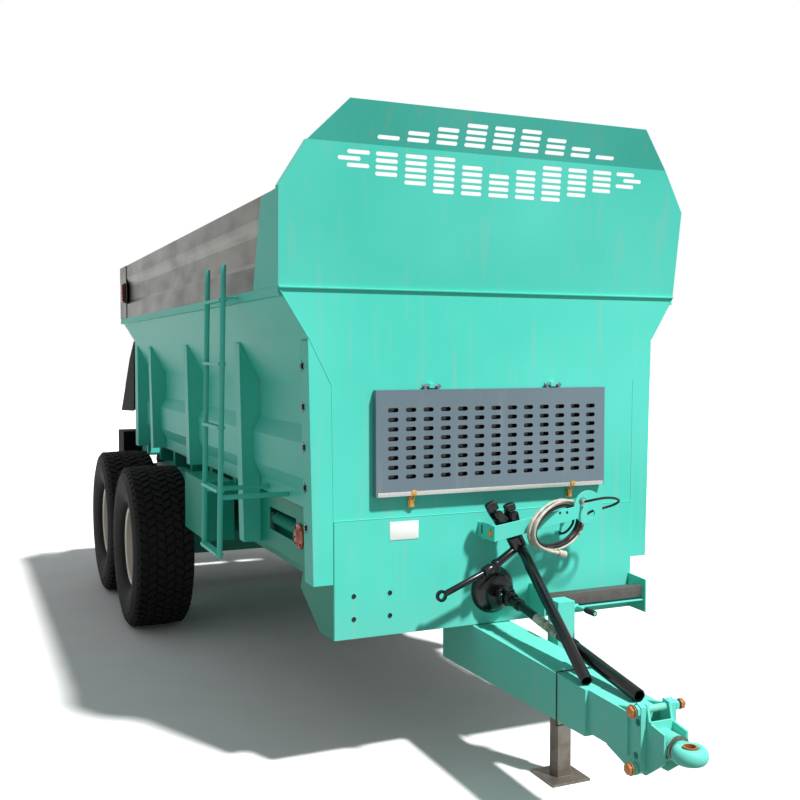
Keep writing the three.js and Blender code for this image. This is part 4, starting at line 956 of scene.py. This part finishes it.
for side, name in ((1, "left"), (-1, "right")):
    x, z = side * tension["x"], tension["z"]
    length = (tension["to"] - tension["from"]) / 1000
    spring = joined("tensionSpring_" + name, [
        helix("tensionCoil", at(x, tension["from"], z), turn("X", -90), tension["coil"] / 1000,
              tension["wire"] / 1000, tension["turns"], length),
        rod("tensionBolt", at(x, 490, z), at(x, 1005, z), 0.011, 20, 0.001),
        rod("springSeat", at(x, 554, z), at(x, 566, z), 0.035, 28, 0.002),
        rod("springSeat", at(x, 957, z), at(x, 967, z), 0.035, 28, 0.002),
        rod("tensionNut", at(x, 968, z), at(x, 986, z), 0.019, 6, 0.0015),
    ])
    done(spring, "chassis", shadedFrameEnamel, ["chain_tensioner_" + name])
    inner, outer = sorted((side * tension["inner"], side * 800))
    housing = turned("bearingHousing", scaled([(31, 0), (50, 0), (50, 18), (44, 30), (40, 47), (31, 47)]), 40,
                     move(at(side * tension["inner"], 430, z)) @ turn("Y", 90 * side))
    foot = block("bearingFoot", at(inner, 476, z - 22), at(outer - (0 if side < 0 else 16), 496, z + 22), 0.003)
    done(joined("bearing_" + name, [housing, foot]), "chassis", bearingOrange)

    # flanged cap of the front chain shaft's bearing, outside the skirt
    place = move(at(side * bearing["face"], bearing["y"], bearing["z"])) @ turn("Y", 90 * side)
    capOutline = [(0, 30), (20, 30), (30, 27), (38, 18), (46, 15), (60, 13), (64, 9), (64, 0), (0, 0)]
    parts = [turned("bearingCap", scaled(capOutline), 44, place)]
    for a in range(45, 405, 90):
        spot = place @ turn("Z", a)
        r = bearing["screwCircle"]
        parts.append(rod("capScrew", spot @ mm(r, 0, 10), spot @ mm(r, 0, 21), 0.007, 6, 0.001))
    parts.append(rod("greaseNipple", place @ mm(0, 0, 28), place @ mm(0, 0, 38), 0.005, 12, 0.001))
    done(joined("bearingCap_" + name, parts), "chassis", bearingOrange)
print("tensioners made")

# marker and tail lamps
lamps = {"y": (4290.5, 4350.5), "z": (2388, 2550), "tail": (760, 828), "tailY": (5700.5, 5722)}
for side, name in ((1, "left"), (-1, "right")):
    ys, zs = lamps["y"], lamps["z"]
    inner, outer = sorted((side * 1067.5, side * 1079))
    base = block("lampBase_" + name, at(inner, ys[0], zs[0]), at(outer, ys[1], zs[1]), 0.004)
    done(base, "chassis", hoseRubber)
    inner, outer = sorted((side * 1078, side * 1100))
    lens = block("lampLens_" + name, at(inner, ys[0] + 5, zs[0] + 8), at(outer, ys[1] - 5, zs[1] - 8), 0.009)
    done(lens, "chassis", redLens, ["marker_lamp_" + name])
    x, z = lamps["tail"]
    y0, y1 = lamps["tailY"]
    lampBox = block("tailLampBox_" + name, at(side * x - 95, y0, z - 43), at(side * x + 95, y1, z + 44), 0.004)
    done(lampBox, "chassis", hoseRubber)
    for k, (offset, paint) in enumerate(((-60, redLens), (0, redLens), (60, amberLens))):
        place = move(at(side * (x + offset), y1 - 1, z)) @ turn("X", -90)
        dome = scaled([(0, 14), (14, 13), (22, 9), (26, 3), (26, 0), (0, 0)])
        done(turned("tailLens_%s_%d" % (name, k), dome, 28, place), "chassis", paint)
print("lamps made")

# beaters and spinners
beater = {"y": 4920, "z": (1318, 1698), "drum": 84, "edge": 160, "turns": 2, "from": 34, "to": 756, "knives": 11}
knifeOutline = [(-0.030, 0.128), (0.030, 0.128), (0.026, 0.166), (0.012, 0.177), (-0.026, 0.172)]
for z, level in zip(beater["z"], ("lower", "upper")):
    centre = at(0, beater["y"], z)
    parts = [
        rod("beaterDrum", centre - mm(782, 0, 0), centre + mm(782, 0, 0), beater["drum"] / 1000, 48, 0.003),
        rod("beaterShaft", centre - mm(838, 0, 0), centre + mm(838, 0, 0), 0.0338, 32, 0.002),
    ]
    length = (beater["to"] - beater["from"]) / 1000
    for side in (-1, 1):
        clearSelection()
        bpy.ops.mesh.primitive_circle_add(vertices=4, radius=1)
        flight = bpy.context.object
        edge = beater["edge"] / 1000
        section = ((0.080, 0), (edge, 0), (edge, 0.008), (0.080, 0.008))
        for vertex, (r, along) in zip(flight.data.vertices, section):
            vertex.co = (r, 0, along)
        wound = flight.modifiers.new("wound", "SCREW")
        wound.axis = "Z"
        wound.screw_offset = length / beater["turns"]
        wound.iterations = beater["turns"]
        wound.steps = wound.render_steps = 40
        bpy.ops.object.modifier_apply(modifier=wound.name)
        bpy.ops.object.mode_set(mode="EDIT")
        bpy.ops.mesh.select_all(action="SELECT")
        bpy.ops.mesh.fill_holes(sides=5)
        bpy.ops.object.mode_set(mode="OBJECT")
        upright = turn("Y", 90) @ turn("Z", 90 if level == "upper" else 0)
        hand = Matrix.Diagonal((side, 1, 1, 1))
        flight.data.transform(move(centre) @ hand @ move(mm(beater["from"], 0, 0)) @ upright)
        facesOut(flight)
        parts.append(flight)
        for i in range(beater["knives"]):
            share = (i + 0.5) / beater["knives"]
            knife = plate("beaterKnife", knifeOutline, 0.010, acrossX, 0.0015)
            bolt = [rod("knifeBolt", mm(-9, y, 144), mm(12, y, 144), 0.008, 6, 0.001) for y in (-14, 14)]
            knife = joined("beaterKnife", [knife, *bolt])
            # each knife follows the flight round and along the drum
            onFlight = upright @ turn("Z", 360 * beater["turns"] * share) @ turn("Y", -90) @ turn("X", -90)
            alongDrum = move(mm(beater["from"] + length * 1000 * share, 0, 0))
            knife.data.transform(move(centre) @ hand @ alongDrum @ onFlight)
            parts.append(knife)
    body = "beater_low" if level == "lower" else "beater_high"
    whole = joined("beaterLook_" + level, parts)
    facesOut(whole)
    done(whole, body, wornSteel, ["beater_" + level])

spinner = {"x": 430, "y": 5260, "under": 900.3, "radius": 398, "vanes": 4, "boltCircle": 50}
for side, name in ((1, "left"), (-1, "right")):
    centre = at(side * spinner["x"], spinner["y"], 0)
    z, r = spinner["under"], spinner["radius"]
    dish = [(60, z), (r - 6, z), (r, 903), (r, 906), (r - 6, z + 8), (60, z + 8)]
    hub = [(0, 934), (30, 934), (36, 930), (36, 922), (64, 918), (70, 910), (70, 870.6), (0, 870.6)]
    parts = [
        turned("spinnerDish", scaled(dish), 64, move(centre)),
        turned("spinnerHub", scaled(hub), 40, move(centre)),
    ]
    for i in range(6):
        spot = centre + turn("Z", 60 * i) @ mm(spinner["boltCircle"], 0, 0)
        parts.append(rod("hubBolt", spot + mm(0, 0, 918), spot + mm(0, 0, 926), 0.009, 6, 0.001))
    for i in range(spinner["vanes"]):
        spoke = move(centre) @ turn("Z", 20 + 90 * i)
        vane = block("spinnerVane", mm(78, -3, 908), mm(390, 4, 964), 0.0015)
        foot = block("vaneFoot", mm(78, 3, 908), mm(390, 34, 913), 0.0015)
        cap = block("vaneCap", mm(78, -16, 959), mm(390, 1, 964), 0.0015)
        bolts = [rod("vaneBolt", mm(x, 20, 912), mm(x, 20, 920), 0.008, 6, 0.001) for x in (120, 232, 345)]
        one = joined("spinnerVane", [vane, foot, cap, *bolts])
        one.data.transform(spoke)
        parts.append(one)
    done(joined("spinnerLook_" + name, parts), "spinner_" + name, wornSteel, ["spinner_disc_" + name])
print("beaters and spinners made")

# finishes of the frame's own solids
slotOf = {s["node"]: s["material_slot"] for s in frame["record"]["subparts"]}
sheetEdge = {"radius": 0.0016, "angle": 32}  # rolled or ground edges on folded sheet
for name, node in nodes.items():
    node.data.materials.clear()
    node.data.materials.append(bodyMaterials[slotOf[name]])
    if name == "front_hood":  # its long louvred sheet stays as it is
        continue
    weld = node.modifiers.new("weld", "WELD")
    weld.merge_threshold = mergeDistance
    rounding = node.modifiers.new("rounding", "BEVEL")
    rounding.width = sheetEdge["radius"]
    rounding.segments = 2
    rounding.limit_method = "ANGLE"
    rounding.angle_limit = math.radians(sheetEdge["angle"])
print("finishes laid on the solids")
